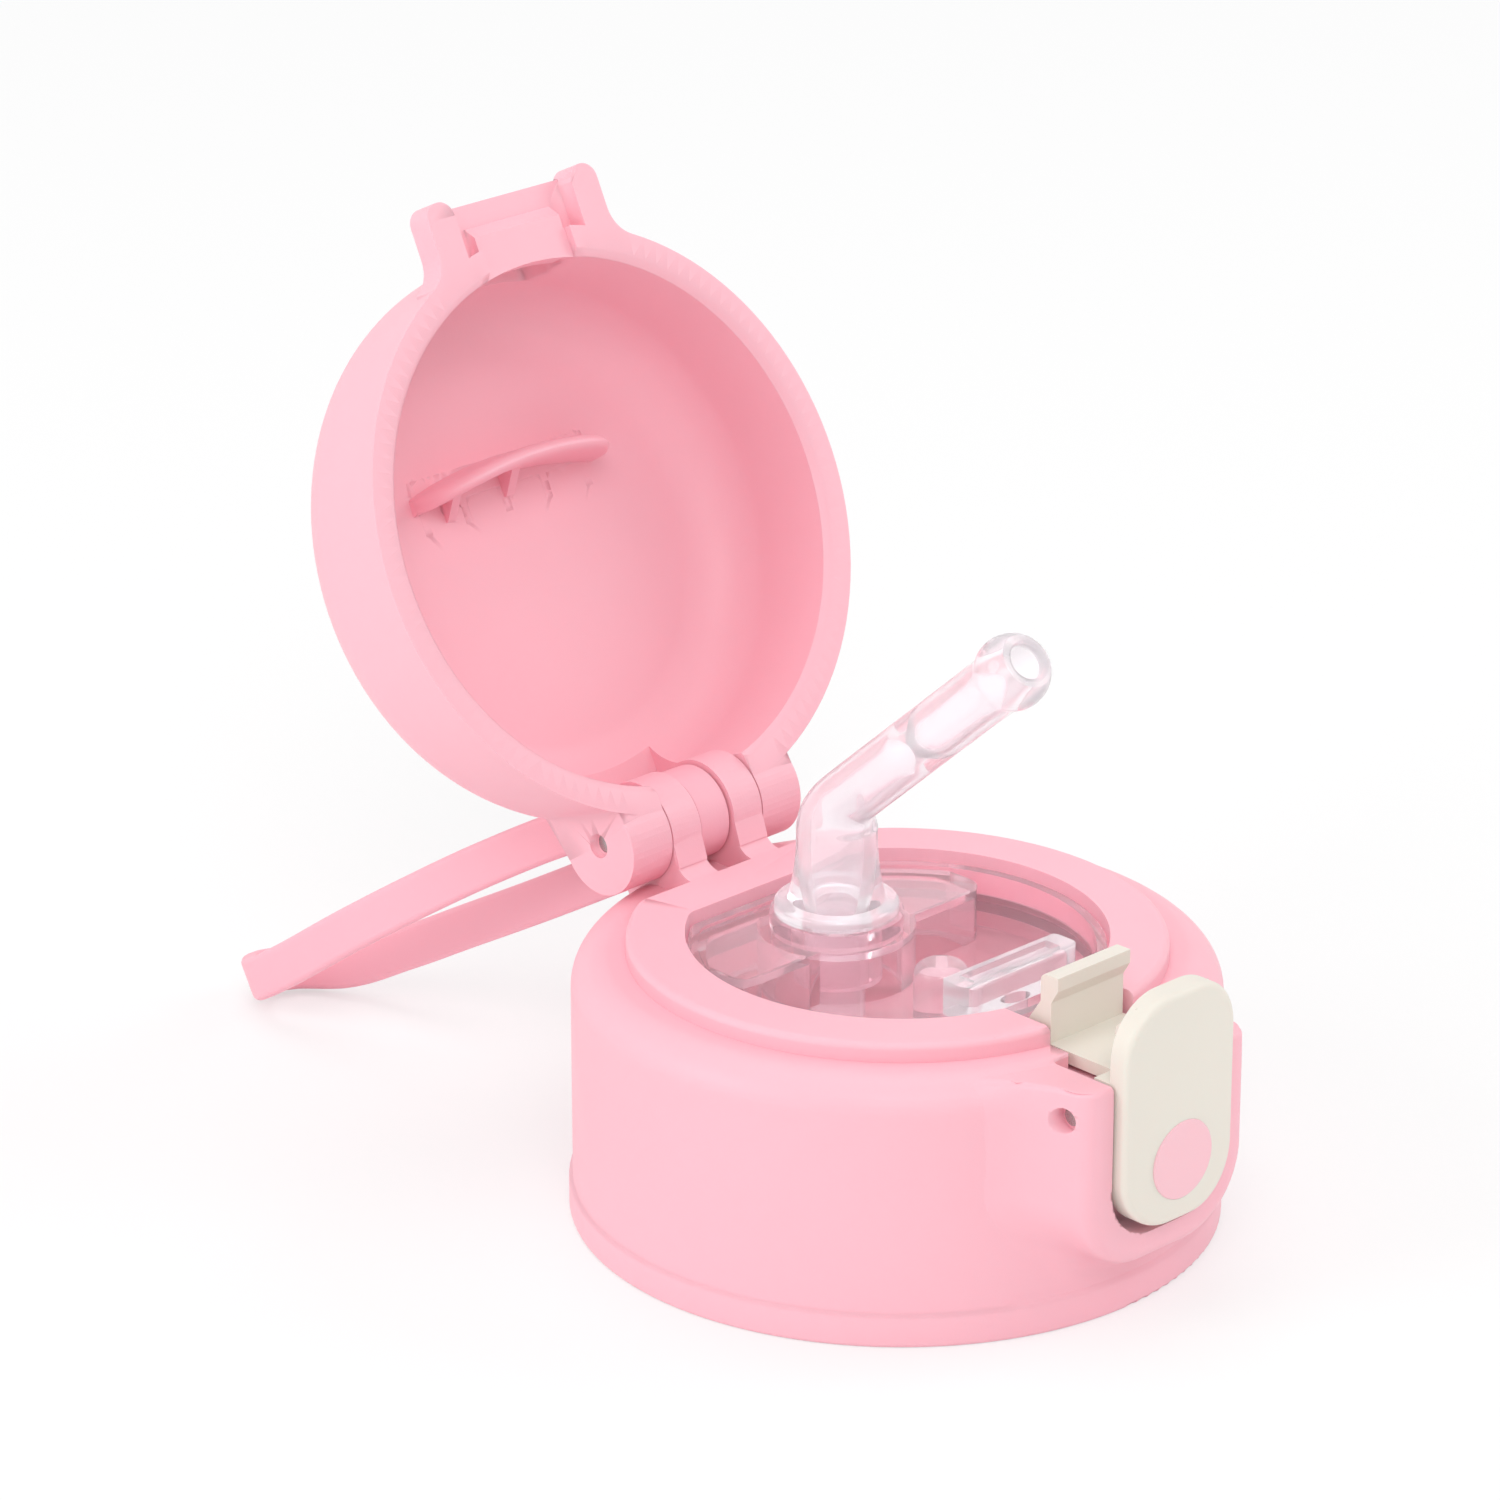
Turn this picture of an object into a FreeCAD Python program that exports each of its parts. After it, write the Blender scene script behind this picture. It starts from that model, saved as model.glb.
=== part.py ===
import FreeCAD, Part
import math
import os
import re
import Sketcher
from FreeCAD import Placement, Rotation, Vector

# Straw bottle cap, standing open: millimetres, Z up, origin at the centre of the cap's base,
# latch toward -Y and hinge toward +Y.

os.makedirs("parts", exist_ok=True)
doc = FreeCAD.newDocument("straw_bottle_cap")
sheet = doc.addObject("Spreadsheet::Sheet", "Sizes")

# Driving dimensions
SIZES = [
    # Screw cap
    ("skirt_radius", 35.0),
    ("skirt_wall", 2.5),
    ("foot_radius", 35.4),
    ("foot_height", 3.4),
    ("foot_step", 0.5),
    ("shoulder_height", 29.7),
    ("shoulder_round", 4.0),
    ("plateau_radius", 29.1),
    ("plateau_height", 31.8),
    ("plateau_round", 0.8),
    ("plateau_rear", 25.0),
    ("thread_bore_depth", 18.0),
    ("seal_bore_step", 1.0),
    ("gasket_seat", 25.2),
    ("insert_seat", 27.4),
    ("insert_seat_radius", 26.5),
    ("opening_radius", 22.75),
    ("opening_chord", 19.0),
    ("opening_round", 4.0),
    # Hinge
    ("hinge_back", 33.2),
    ("hinge_height", 35.3),
    ("ear_radius", 5.6),
    ("ear_foot_angle", 31.0),
    ("ear_root", 1.7),
    ("body_ear_width", 4.2),
    ("lid_ear_width", 5.8),
    ("hinge_gap", 0.2),
    ("pin_radius", 1.0),
    ("pin_clearance", 0.05),
    ("pin_mouth_radius", 1.4),
    ("pin_recess", 1.0),
    ("lid_opening_angle", 116.5),
    # Carry loop
    ("hub_half", 2.3),
    ("hub_radius", 5.2),
    ("loop_width", 5.1),
    ("loop_thickness", 2.3),
    ("loop_edge_round", 0.7),
    ("loop_hang_angle", 29.6),
    ("loop_drop_angle", 10.0),
    ("loop_relief_gap", 0.35),
    # Latch housing on the skirt
    ("housing_half", 12.5),
    ("housing_front", 39.5),
    ("housing_bottom", 4.5),
    ("housing_slope", 5.5),
    ("housing_top", 29.3),
    ("housing_round", 3.0),
    ("housing_blend", 4.0),
    ("pocket_back", 35.0),
    ("pocket_bottom", 11.0),
    ("slot_half", 6.3),
    ("slot_step", 31.0),
    # Latch
    ("latch_half", 8.3),
    ("latch_side_gap", 0.3),
    ("latch_pivot_front", 36.5),
    ("latch_pivot_height", 26.0),
    ("latch_barrel_radius", 2.3),
    ("latch_back", 38.7),
    ("latch_front", 41.6),
    ("latch_crown_radius", 57.0),
    ("latch_bottom", 12.2),
    ("latch_top", 38.2),
    ("latch_corner", 6.5),
    ("latch_edge", 0.8),
    ("latch_web_bottom", 24.5),
    ("latch_floor_low", 28.0),
    ("latch_floor_thick", 1.4),
    ("latch_floor_half", 5.6),
    ("latch_wall_front", 27.7),
    ("latch_wall_thick", 1.5),
    ("latch_lip_top", 37.0),
    ("latch_lip_front", 28.6),
    ("latch_gusset_reach", 2.9),
    ("latch_gusset_top", 34.6),
    ("latch_gusset_thick", 1.0),
    ("barb_half", 5.5),
    ("barb_tip_front", 36.6),
    ("barb_gap", 0.25),
    ("barb_rise", 3.75),
    ("dot_radius", 4.4),
    ("dot_height", 19.1),
    ("dot_thick", 1.0),
    ("dot_proud", 0.1),
    ("spring_height", 17.0),
    ("spring_radius", 2.0),
    ("spring_wire", 0.25),
    ("spring_turns", 4.0),
    ("spring_gap", 0.1),
    # Lid, in its closed place
    ("lid_gap", 0.25),
    ("lid_rim_radius", 32.9),
    ("lid_top_radius", 31.0),
    ("lid_mouth_radius", 29.6),
    ("lid_wall", 2.4),
    ("lid_rise", 19.9),
    ("lid_crown_radius", 600.0),
    ("lid_round", 9.6),
    ("lid_rim_bevel", 0.8),
    ("lid_ear_top", 43.0),
    ("lid_cutout_top", 45.6),
    ("bracket_top", 33.2),
    ("bracket_half", 12.4),
    ("bracket_front", 38.5),
    ("bracket_round", 1.85),
    ("bracket_blend", 4.0),
    ("skin_front", 37.6),
    ("skin_thick", 0.9),
    ("catch_front", 35.0),
    ("catch_bottom", 30.9),
    ("catch_half", 6.2),
    ("catch_bevel", 1.2),
    ("lip_recess_radius", 31.3),
    ("lip_recess_half", 6.4),
    ("lip_recess_top", 40.0),
    ("rib_half", 13.0),
    ("rib_front", 9.8),
    ("rib_thick", 1.2),
    ("rib_free_edge", 39.0),
    ("rib_corner", 4.0),
    ("rib_foot", 1.1),
    ("rib_gusset_reach", 4.0),
    ("rib_gusset_low", 42.0),
    ("rib_gusset_pitch", 6.0),
    ("rib_gusset_thick", 1.0),
    # Clear insert
    ("insert_gap", 0.3),
    ("flange_thick", 2.0),
    ("tray_wall", 1.1),
    ("tray_floor", 24.0),
    ("tray_floor_thick", 1.4),
    ("tray_rim", 30.4),
    ("platform_front", 4.5),
    ("platform_half", 18.7),
    ("platform_top", 30.0),
    ("platform_wall", 1.4),
    ("port_back", 9.2),
    ("port_bulge_radius", 8.6),
    ("port_collar_radius", 7.3),
    ("port_collar_top", 31.4),
    ("port_tube_radius", 5.0),
    ("port_tube_bottom", 24.0),
    ("boss_left", 0.6),
    ("boss_front", 7.2),
    ("boss_radius", 3.0),
    ("boss_top", 30.6),
    # Silicone mouthpiece
    ("spout_stub_radius", 3.2),
    ("spout_stub_bottom", 18.2),
    ("spout_plug_radius", 3.5),
    ("spout_port_gap", 0.1),
    ("spout_flange_radius", 6.8),
    ("spout_flange_thick", 1.5),
    ("spout_flare_radius", 5.3),
    ("spout_radius", 4.4),
    ("spout_bend_height", 43.6),
    ("spout_bend_radius", 5.5),
    ("spout_tip_front", 16.2),
    ("spout_tip_height", 66.0),
    ("spout_arm_radius", 3.35),
    ("spout_bulb_radius", 4.1),
    ("spout_face_depth", 2.8),
    ("spout_wall", 1.35),
    ("spout_mouth_radius", 1.95),
    # Air valve
    ("valve_left", 4.4),
    ("valve_right", 13.0),
    ("valve_front", 14.6),
    ("valve_width", 4.2),
    ("valve_bottom", 27.0),
    ("valve_top", 31.0),
    ("valve_end_round", 1.2),
    ("valve_slit_depth", 0.8),
    ("valve_stem_radius", 1.7),
    ("valve_stem_gap", 0.1),
    ("valve_foot_radius", 3.0),
    ("valve_foot_thick", 1.2),
    # Bottle gasket
    ("gasket_inner", 27.6),
    ("gasket_outer_gap", 0.2),
    ("gasket_thick", 2.2),
    ("gasket_lip", 1.0),
]

for row, (alias, value) in enumerate(SIZES, 1):
    sheet.set(f"A{row}", alias)
    sheet.set(f"B{row}", str(value))
    sheet.setAlias(f"B{row}", alias)
doc.recompute()

NAMES = {alias for alias, value in SIZES}
S = {alias: float(sheet.get(alias)) for alias in NAMES}
AXES = {"x": Rotation(Vector(0, 1, 0), 90), "y": Rotation(Vector(1, 0, 0), -90), "z": Rotation()}
PLANES = {"xy": Rotation(), "xz": Rotation(Vector(1, 0, 0), 90), "yz": Rotation(Vector(1, 1, 1), 120)}
PAST = 1.0  # how far a cutting tool runs past the face that it cuts


def formula(text):
    """An expression for the sheet: each name of a size gets the sheet's own name before it."""
    words = re.findall(r"[a-z_]+|[^a-z_]+", str(text))
    return "".join("Sizes." + word if word in NAMES else word for word in words)


def bind(item, formulas):
    for key, text in formulas.items():
        item.setExpression(key, formula(text))
    return item


def put(item, place, turn=Rotation()):
    item.Placement = Placement(Vector(), turn)
    return bind(item, {f".Placement.Base.{axis}": text for axis, text in zip("xyz", place)})


def cylinder(name, radius, length, place, axis="z"):
    item = bind(doc.addObject("Part::Cylinder", name), {"Radius": radius, "Height": length})
    return put(item, place, AXES[axis])


def cone(name, low_radius, high_radius, height, place):
    item = doc.addObject("Part::Cone", name)
    bind(item, {"Radius1": low_radius, "Radius2": high_radius, "Height": height})
    return put(item, place)


def box(name, left, right, front, back, low, high):
    item = doc.addObject("Part::Box", name)
    sizes = {"Length": f"({right}) - ({left})", "Width": f"({back}) - ({front})", "Height": f"({high}) - ({low})"}
    return put(bind(item, sizes), (left, front, low))


def outline(name, plane, corners, place=(0, 0, 0)):
    """A closed sketch of straight lines, each corner locked to two expressions."""
    sketch = doc.addObject("Sketcher::SketchObject", name)
    put(sketch, place, PLANES[plane])
    count = len(corners)
    around = [Vector(math.cos(2 * math.pi * i / count), math.sin(2 * math.pi * i / count)) for i in range(count)]
    for i in range(count):
        sketch.addGeometry(Part.LineSegment(around[i], around[(i + 1) % count]), False)
    for i in range(count):
        sketch.addConstraint(Sketcher.Constraint("Coincident", i, 2, (i + 1) % count, 1))
    for i, corner in enumerate(corners):
        for kind, text, start in zip(("DistanceX", "DistanceY"), corner, around[i]):
            index = sketch.addConstraint(Sketcher.Constraint(kind, i, 1, start))
            sketch.setExpression(f"Constraints[{index}]", formula(text))
    return sketch


def extrude(name, sketch, direction, length):
    item = doc.addObject("Part::Extrusion", name)
    item.Base = sketch
    item.DirMode = "Custom"
    item.Dir = direction
    item.Solid = True
    return bind(item, {"LengthFwd": length})


def across(name, corners, left, right):
    """A side outline (Y, Z) carried along X."""
    sketch = outline(name + "_outline", "yz", corners, (left, 0, 0))
    return extrude(name, sketch, Vector(1, 0, 0), f"({right}) - ({left})")


def revolve(name, corners):
    item = doc.addObject("Part::Revolution", name)
    item.Source = outline(name + "_outline", "xz", corners)
    item.Axis = Vector(0, 0, 1)
    item.Angle = 360
    item.Solid = True
    return item


def fuse(name, items):
    item = doc.addObject("Part::MultiFuse", name)
    item.Shapes = items
    return item


def common(name, items):
    item = doc.addObject("Part::MultiCommon", name)
    item.Shapes = items
    return item


def cut(name, base, tool):
    item = doc.addObject("Part::Cut", name)
    item.Base = base
    item.Tool = tool
    return item


def carve(name, base, tools):
    """Cuts the tools away one after another; the last cut has the given name."""
    for index, tool in enumerate(tools, 1):
        base = cut(f"{name}_{index}" if index < len(tools) else name, base, tool)
    return base


def fillet(name, base, *rounds):
    """Rounds the edges of base: each of rounds is a radius and a test that picks its edges."""
    doc.recompute()
    item = doc.addObject("Part::Fillet", name)
    item.Base = base
    item.Edges = [
        (index, radius, radius)
        for index, edge in enumerate(base.Shape.Edges, 1)
        for radius, picked in rounds
        if picked(edge)
    ]
    return item


def node(item, label):
    item.Label = label
    NODES.append(item)


def near(first, second):
    return abs(first - second) < 0.01


def ring(radius, height):
    """Picks the circle of a turned shape that has this radius at this height."""
    def picked(edge):
        box = edge.BoundBox
        return near(box.ZMin, height) and near(box.ZMax, height) and near(box.XMax, radius)
    return picked


def upright(x=None, y=None):
    """Picks vertical straight edges at this x and y, on either side of the middle plane."""
    def picked(edge):
        box = edge.BoundBox
        vertical = box.XLength < 0.01 and box.YLength < 0.01 and box.ZLength > 0.01
        return vertical and (x is None or near(abs(box.XMax), x)) and (y is None or near(box.YMax, y))
    return picked


def along(axis, **place):
    """Picks straight edges along an axis that lie at the given coordinates."""
    def picked(edge):
        box = edge.BoundBox
        spans = {"x": box.XLength, "y": box.YLength, "z": box.ZLength}
        lows = {"x": box.XMin, "y": box.YMin, "z": box.ZMin}
        straight = all(span < 0.01 for key, span in spans.items() if key != axis) and spans[axis] > 0.01
        return straight and all(near(lows[key], value) for key, value in place.items())
    return picked


NODES = []
BORE = "skirt_radius - skirt_wall"
SEAL_BORE = f"{BORE} - seal_bore_step"
EAR_IN = "hub_half + hinge_gap"
EAR_OUT = f"{EAR_IN} + body_ear_width"
LID_EAR_IN = f"{EAR_OUT} + hinge_gap"
LID_EAR_OUT = f"{LID_EAR_IN} + lid_ear_width"
POCKET_HALF = "latch_half + latch_side_gap"
RIM = "shoulder_height + lid_gap"
PIN_BORE = "pin_radius + pin_clearance"
SIDES = {"right": 1, "left": -1}
HINGE = Vector(0, S["hinge_back"], S["hinge_height"])


def span(side, inner, outer):
    """The two ends along X of a piece that lies between inner and outer on one side."""
    return (inner, outer) if SIDES[side] > 0 else (f"-({outer})", f"-({inner})")


def blend_wing(name, half, blend, around, low, high):
    """The filling between a block's flat side and the round wall behind it, hollowed by a cylinder."""
    reach = f"({around} + {blend})"
    depth = f"sqrt({reach} ^ 2 - ({half} + {blend}) ^ 2)"
    ratio = f"({around}) / {reach}"
    wings = []
    for side in SIDES:
        left, right = span(side, f"{half} - 1", f"({half} + {blend}) * {ratio}")
        filling = box(f"{name}_{side}_filling", left, right, f"-{depth}", f"-{depth} * {ratio} + 1", low, high)
        middle = f"{half} + {blend}" if SIDES[side] > 0 else f"-({half} + {blend})"
        hollow = cylinder(f"{name}_{side}_hollow", blend, f"{high} - ({low}) + 2",
                          (middle, f"-{depth}", f"{low} - 1"))
        wings.append(cut(f"{name}_{side}", filling, hollow))
    return wings


def opening_outline(name, inset, low, high):
    """The D-shaped opening's outline, drawn in by inset, as a block from low to high."""
    disc = cylinder(f"{name}_disc", f"opening_radius - ({inset})", f"{high} - ({low})", (0, 0, low))
    limit = box(f"{name}_limit", "-opening_radius", "opening_radius", "-opening_radius",
                f"opening_chord - ({inset})", low, high)
    block = common(f"{name}_block", [disc, limit])
    doc.recompute()
    chord = block.Shape.BoundBox.YMax
    return fillet(name, block, (S["opening_round"] - S["platform_wall"], upright(y=chord)))


# Screw cap: the turned shell
def cap_shell():
    shell = revolve("cap_turned", [
        (0, "plateau_height"),
        ("plateau_radius", "plateau_height"),
        ("plateau_radius", "shoulder_height"),
        ("skirt_radius", "shoulder_height"),
        ("skirt_radius", "foot_height + foot_step"),
        ("foot_radius", "foot_height"),
        ("foot_radius", 0),
        (BORE, 0),
        (BORE, "thread_bore_depth"),
        (SEAL_BORE, "thread_bore_depth"),
        (SEAL_BORE, "gasket_seat"),
        ("insert_seat_radius", "gasket_seat"),
        ("insert_seat_radius", "insert_seat"),
        (0, "insert_seat"),
    ])
    return fillet(
        "cap_rounded", shell,
        (S["shoulder_round"], ring(S["skirt_radius"], S["shoulder_height"])),
        (S["plateau_round"], ring(S["plateau_radius"], S["plateau_height"])),
        (S["foot_step"], ring(S["foot_radius"], 0)),
    )


# Hinge ears of the cap, each a barrel on a foot that leans on the shoulder
def body_ear(side):
    left, right = span(side, EAR_IN, EAR_OUT)
    barrel = cylinder(f"body_ear_{side}_barrel", "ear_radius", "body_ear_width",
                      (left, "hinge_back", "hinge_height"), "x")
    foot = across(f"body_ear_{side}_foot", [
        ("plateau_rear", "shoulder_height - ear_root"),
        ("hinge_back - ear_radius", "hinge_height"),
        ("hinge_back + ear_radius * cos(ear_foot_angle)", "hinge_height - ear_radius * sin(ear_foot_angle)"),
        ("skirt_radius - skirt_wall / 2", "shoulder_height - shoulder_round"),
        ("skirt_radius - skirt_wall / 2", "shoulder_height - ear_root"),
    ], left, right)
    return [barrel, foot]


# Latch housing: a block that fades into the skirt below, with hollow blends at its sides
def latch_housing():
    core = box("housing_core", "-housing_half", "housing_half", "-housing_front", f"-({BORE})",
               "housing_bottom", "housing_top")
    corners = fillet("housing_rounded", core, (S["housing_round"], upright(y=-S["housing_front"])))
    wings = blend_wing("housing_wing", "housing_half", "housing_blend", "skirt_radius",
                       "housing_bottom", "housing_top")
    plan = fuse("housing_plan", [corners] + wings)
    side = across("housing_side", [
        ("-housing_front", "housing_top"),
        ("-housing_front", "housing_bottom + housing_slope"),
        ("-skirt_radius", "housing_bottom"),
        ("-skirt_radius / 2", "housing_bottom"),
        ("-skirt_radius / 2", "housing_top"),
    ], "-skirt_radius", "skirt_radius")
    bend = S["housing_bottom"] + S["housing_slope"]
    softened = fillet("housing_side_rounded", side,
                      (S["housing_round"], along("x", y=-S["housing_front"], z=bend)),
                      (S["latch_edge"], along("x", y=-S["housing_front"], z=S["housing_top"])))
    return common("housing", [plan, softened])


# Spaces cut from the cap: opening, latch pocket, slot, hinge holes and the loop's relief
def cap_spaces():
    past = PAST
    opening = opening_outline("cap_opening", "0", f"insert_seat - {past}", f"plateau_height + {past}")
    rear = box("plateau_rear_cut", "-plateau_radius", "plateau_radius", "plateau_rear",
               f"plateau_radius + {past}", "shoulder_height", f"plateau_height + {past}")
    pocket = box("pocket_block", f"-({POCKET_HALF})", POCKET_HALF, f"-latch_front - {past}",
                 "-pocket_back", "pocket_bottom", f"plateau_height + {past}")
    low = S["pocket_bottom"]
    rounded = fillet("pocket_rounded", pocket, (S["latch_corner"], along("y", z=low)))
    scoop = cylinder("pocket_scoop", "latch_barrel_radius + latch_side_gap", f"2 * ({POCKET_HALF})",
                     (f"-({POCKET_HALF})", "-latch_pivot_front", "latch_pivot_height"), "x")
    wide = box("slot_wide", f"-({POCKET_HALF})", POCKET_HALF, f"-latch_front - {past}", "-slot_step",
               "insert_seat", f"plateau_height + {past}")
    narrow = box("slot_narrow", "-slot_half", "slot_half", f"-slot_step - {past}",
                 f"-opening_radius + {past} + {past}", "insert_seat", f"plateau_height + {past}")
    tools = [opening, rear, rounded, scoop, wide, narrow]
    for side in SIDES:
        left, right = span(side, "housing_half - pin_recess", f"housing_half + {past}")
        tools.append(cylinder(f"cheek_mouth_{side}", "pin_mouth_radius", f"pin_recess + {past}",
                              (left, "-latch_pivot_front", "latch_pivot_height"), "x"))
    tools.append(cylinder("cheek_bore", "pin_radius", "2 * housing_half",
                          ("-housing_half", "-latch_pivot_front", "latch_pivot_height"), "x"))
    tools.append(cylinder("body_ear_bore", "pin_radius", f"2 * ({LID_EAR_IN})",
                          (f"-({LID_EAR_IN})", "hinge_back", "hinge_height"), "x"))
    return tools + [loop_relief()]


# The shoulder's corner between the ears is cut back, so that the loop can drop
def loop_relief():
    relief = doc.addObject("Part::Box", "loop_relief")
    bind(relief, {"Length": f"2 * ({EAR_IN})", "Width": "4 * hub_radius",
                  "Height": "loop_width + loop_relief_gap"})
    turn = Rotation(Vector(1, 0, 0), -S["loop_hang_angle"] - S["loop_drop_angle"])
    corner = Vector(-S["hub_half"] - S["hinge_gap"], -2 * S["hub_radius"], -S["loop_width"] - S["loop_relief_gap"])
    relief.Placement = Placement(HINGE + turn.multVec(corner), turn)
    return relief


def cap_body():
    ears = [piece for side in SIDES for piece in body_ear(side)]
    solid = fuse("cap_solid", [cap_shell(), latch_housing()] + ears)
    node(carve("cap_finished", solid, cap_spaces()), "cap_body")


# Clear insert: flange under the cap's roof, tray, platform with a port, and an air boss
def clear_insert():
    flange = cylinder("insert_flange", "insert_seat_radius - insert_gap", "flange_thick",
                      (0, 0, "insert_seat - flange_thick"))
    block = opening_outline("insert_block", "insert_gap", "tray_floor - tray_floor_thick", "tray_rim")
    tray = opening_outline("tray_space", "insert_gap + tray_wall", "tray_floor", f"tray_rim + {PAST}")
    shell = cut("insert_tray", fuse("insert_outer", [flange, block]), tray)
    step = common("platform_block", [
        opening_outline("platform_outline", "insert_gap + tray_wall / 2", "tray_floor - tray_floor_thick",
                        "platform_top"),
        fillet("platform_limit_rounded",
               box("platform_limit", "-platform_half", "platform_half", "platform_front", "opening_radius",
                   "tray_floor - tray_floor_thick", "platform_top"),
               (S["platform_wall"] * 2, upright(y=S["platform_front"]))),
    ])
    hollow = common("platform_hollow", [
        opening_outline("hollow_outline", "insert_gap + tray_wall / 2 + platform_wall",
                        f"tray_floor - tray_floor_thick - {PAST}", "platform_top - platform_wall"),
        box("hollow_limit", "-platform_half + platform_wall", "platform_half - platform_wall",
            "platform_front + platform_wall", "opening_radius",
            f"tray_floor - tray_floor_thick - {PAST}", "platform_top - platform_wall"),
    ])
    stand = cut("insert_platform", fuse("insert_with_block", [shell, step]), hollow)
    bulge = cylinder("port_bulge", "port_bulge_radius", "platform_top - tray_floor + tray_floor_thick",
                     (0, "port_back", "tray_floor - tray_floor_thick"))
    bulge_hollow = cylinder("port_bulge_hollow", "port_bulge_radius - platform_wall",
                            f"platform_top - platform_wall - tray_floor + tray_floor_thick + {PAST}",
                            (0, "port_back", f"tray_floor - tray_floor_thick - {PAST}"))
    bulge_shell = cut("port_bulge_shell", bulge, bulge_hollow)
    inner_hollow = cut("insert_open_bulge", stand, bulge_hollow)
    collar = cylinder("port_collar", "port_collar_radius", "port_collar_top - platform_top + platform_wall / 2",
                      (0, "port_back", "platform_top - platform_wall / 2"))
    tube = cylinder("port_tube", "port_tube_radius", "port_collar_top - port_tube_bottom",
                    (0, "port_back", "port_tube_bottom"))
    boss = fillet("air_boss",
                  cylinder("air_boss_post", "boss_radius", "boss_top - tray_floor + tray_floor_thick / 2",
                           ("-boss_left", "-boss_front", "tray_floor - tray_floor_thick / 2")),
                  (S["boss_radius"] * 0.45, lambda edge: near(edge.BoundBox.ZMin, S["boss_top"])))
    solid = fuse("insert_solid", [inner_hollow, bulge_shell, collar, tube, boss])
    port = cylinder("port_bore", "spout_plug_radius + spout_port_gap", f"port_collar_top + {PAST}",
                    (0, "port_back", 0))
    middle = "(valve_right - valve_left) / 2"
    seat = cylinder("valve_seat_bore", "valve_stem_radius + valve_stem_gap", "tray_floor",
                    (middle, "-valve_front + valve_width / 2", "tray_floor_thick"))
    node(carve("insert_finished", solid, [port, seat]), "clear_insert")


# Air valve: a slit bar on a stem that is pushed through the tray's floor
def vent_valve():
    bar = box("valve_bar", "-valve_left", "valve_right", "-valve_front", "-valve_front + valve_width",
              "valve_bottom", "valve_top")
    soft = fillet("valve_bar_rounded", bar,
                  (S["valve_end_round"], upright()),
                  (S["valve_end_round"] / 2, along("x", z=S["valve_top"])))
    middle = "(valve_right - valve_left) / 2"
    place = (middle, "-valve_front + valve_width / 2")
    slit = box("valve_slit", "-valve_left + valve_width / 2", "valve_right - valve_width / 2",
               "-valve_front + valve_width / 4", "-valve_front + valve_width * 3 / 4",
               "valve_top - valve_slit_depth", f"valve_top + {PAST}")
    underside = "tray_floor - tray_floor_thick"
    stem = cylinder("valve_stem", "valve_stem_radius", f"valve_bottom - ({underside}) + valve_foot_thick",
                    place + (f"{underside} - valve_foot_thick",))
    neck = cylinder("valve_neck", "valve_width / 2 - valve_stem_gap", "valve_bottom - tray_floor",
                    place + ("tray_floor",))
    foot = cone("valve_foot", "valve_stem_radius", "valve_foot_radius", "valve_foot_thick",
                place + (f"{underside} - valve_foot_thick",))
    node(fuse("valve_finished", [cut("valve_top_cut", soft, slit), stem, neck, foot]), "vent_valve")


# Silicone mouthpiece: one moulding, lofted through circles along a bent line
def spout_stations():
    """Centre, direction and outer radius of each circle, from the flange up to the bulb."""
    foot = Vector(0, S["port_back"], S["port_collar_top"] + S["spout_flange_thick"])
    bend = Vector(0, S["port_back"], S["spout_bend_height"])
    tip = Vector(0, -S["spout_tip_front"], S["spout_tip_height"])
    up = Vector(0, 0, 1)
    arm = (tip - bend).normalize()
    turn = math.acos(up.dot(arm))
    tangent = S["spout_bend_radius"] * math.tan(turn / 2)
    centre = bend - up * tangent + Vector(0, -S["spout_bend_radius"], 0)
    stations = [(foot, up, S["spout_flare_radius"])]
    straight = bend.z - tangent - foot.z
    stations += [(foot + up * straight * share, up, S["spout_radius"]) for share in (0.45, 0.95)]
    steps = 5
    for step in range(1, steps):
        angle = turn * step / steps
        out = Vector(0, math.cos(angle), math.sin(angle))
        lean = Vector(0, -math.sin(angle), math.cos(angle))
        radius = S["spout_radius"] + (S["spout_arm_radius"] - S["spout_radius"]) * step / steps
        stations.append((centre + out * S["spout_bend_radius"], lean, radius))
    start = bend + arm * tangent
    run = (tip - start).Length
    stations += [(start + arm * run * share, arm, S["spout_arm_radius"]) for share in (0.1, 0.4, 0.7, 1.0)]
    return stations


def tube_skin(stations):
    """The side faces of a loft through circles, open at both ends."""
    return Part.makeLoft([circle(*station) for station in stations], False, False, False, 3).Faces


def circle(place, way, radius):
    return Part.Wire(Part.makeCircle(radius, place, way))


def ring_face(place, way, outer, inner):
    return Part.makeFace([circle(place, way, outer), circle(place, way, inner)], "Part::FaceMakerBullseye")


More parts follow.
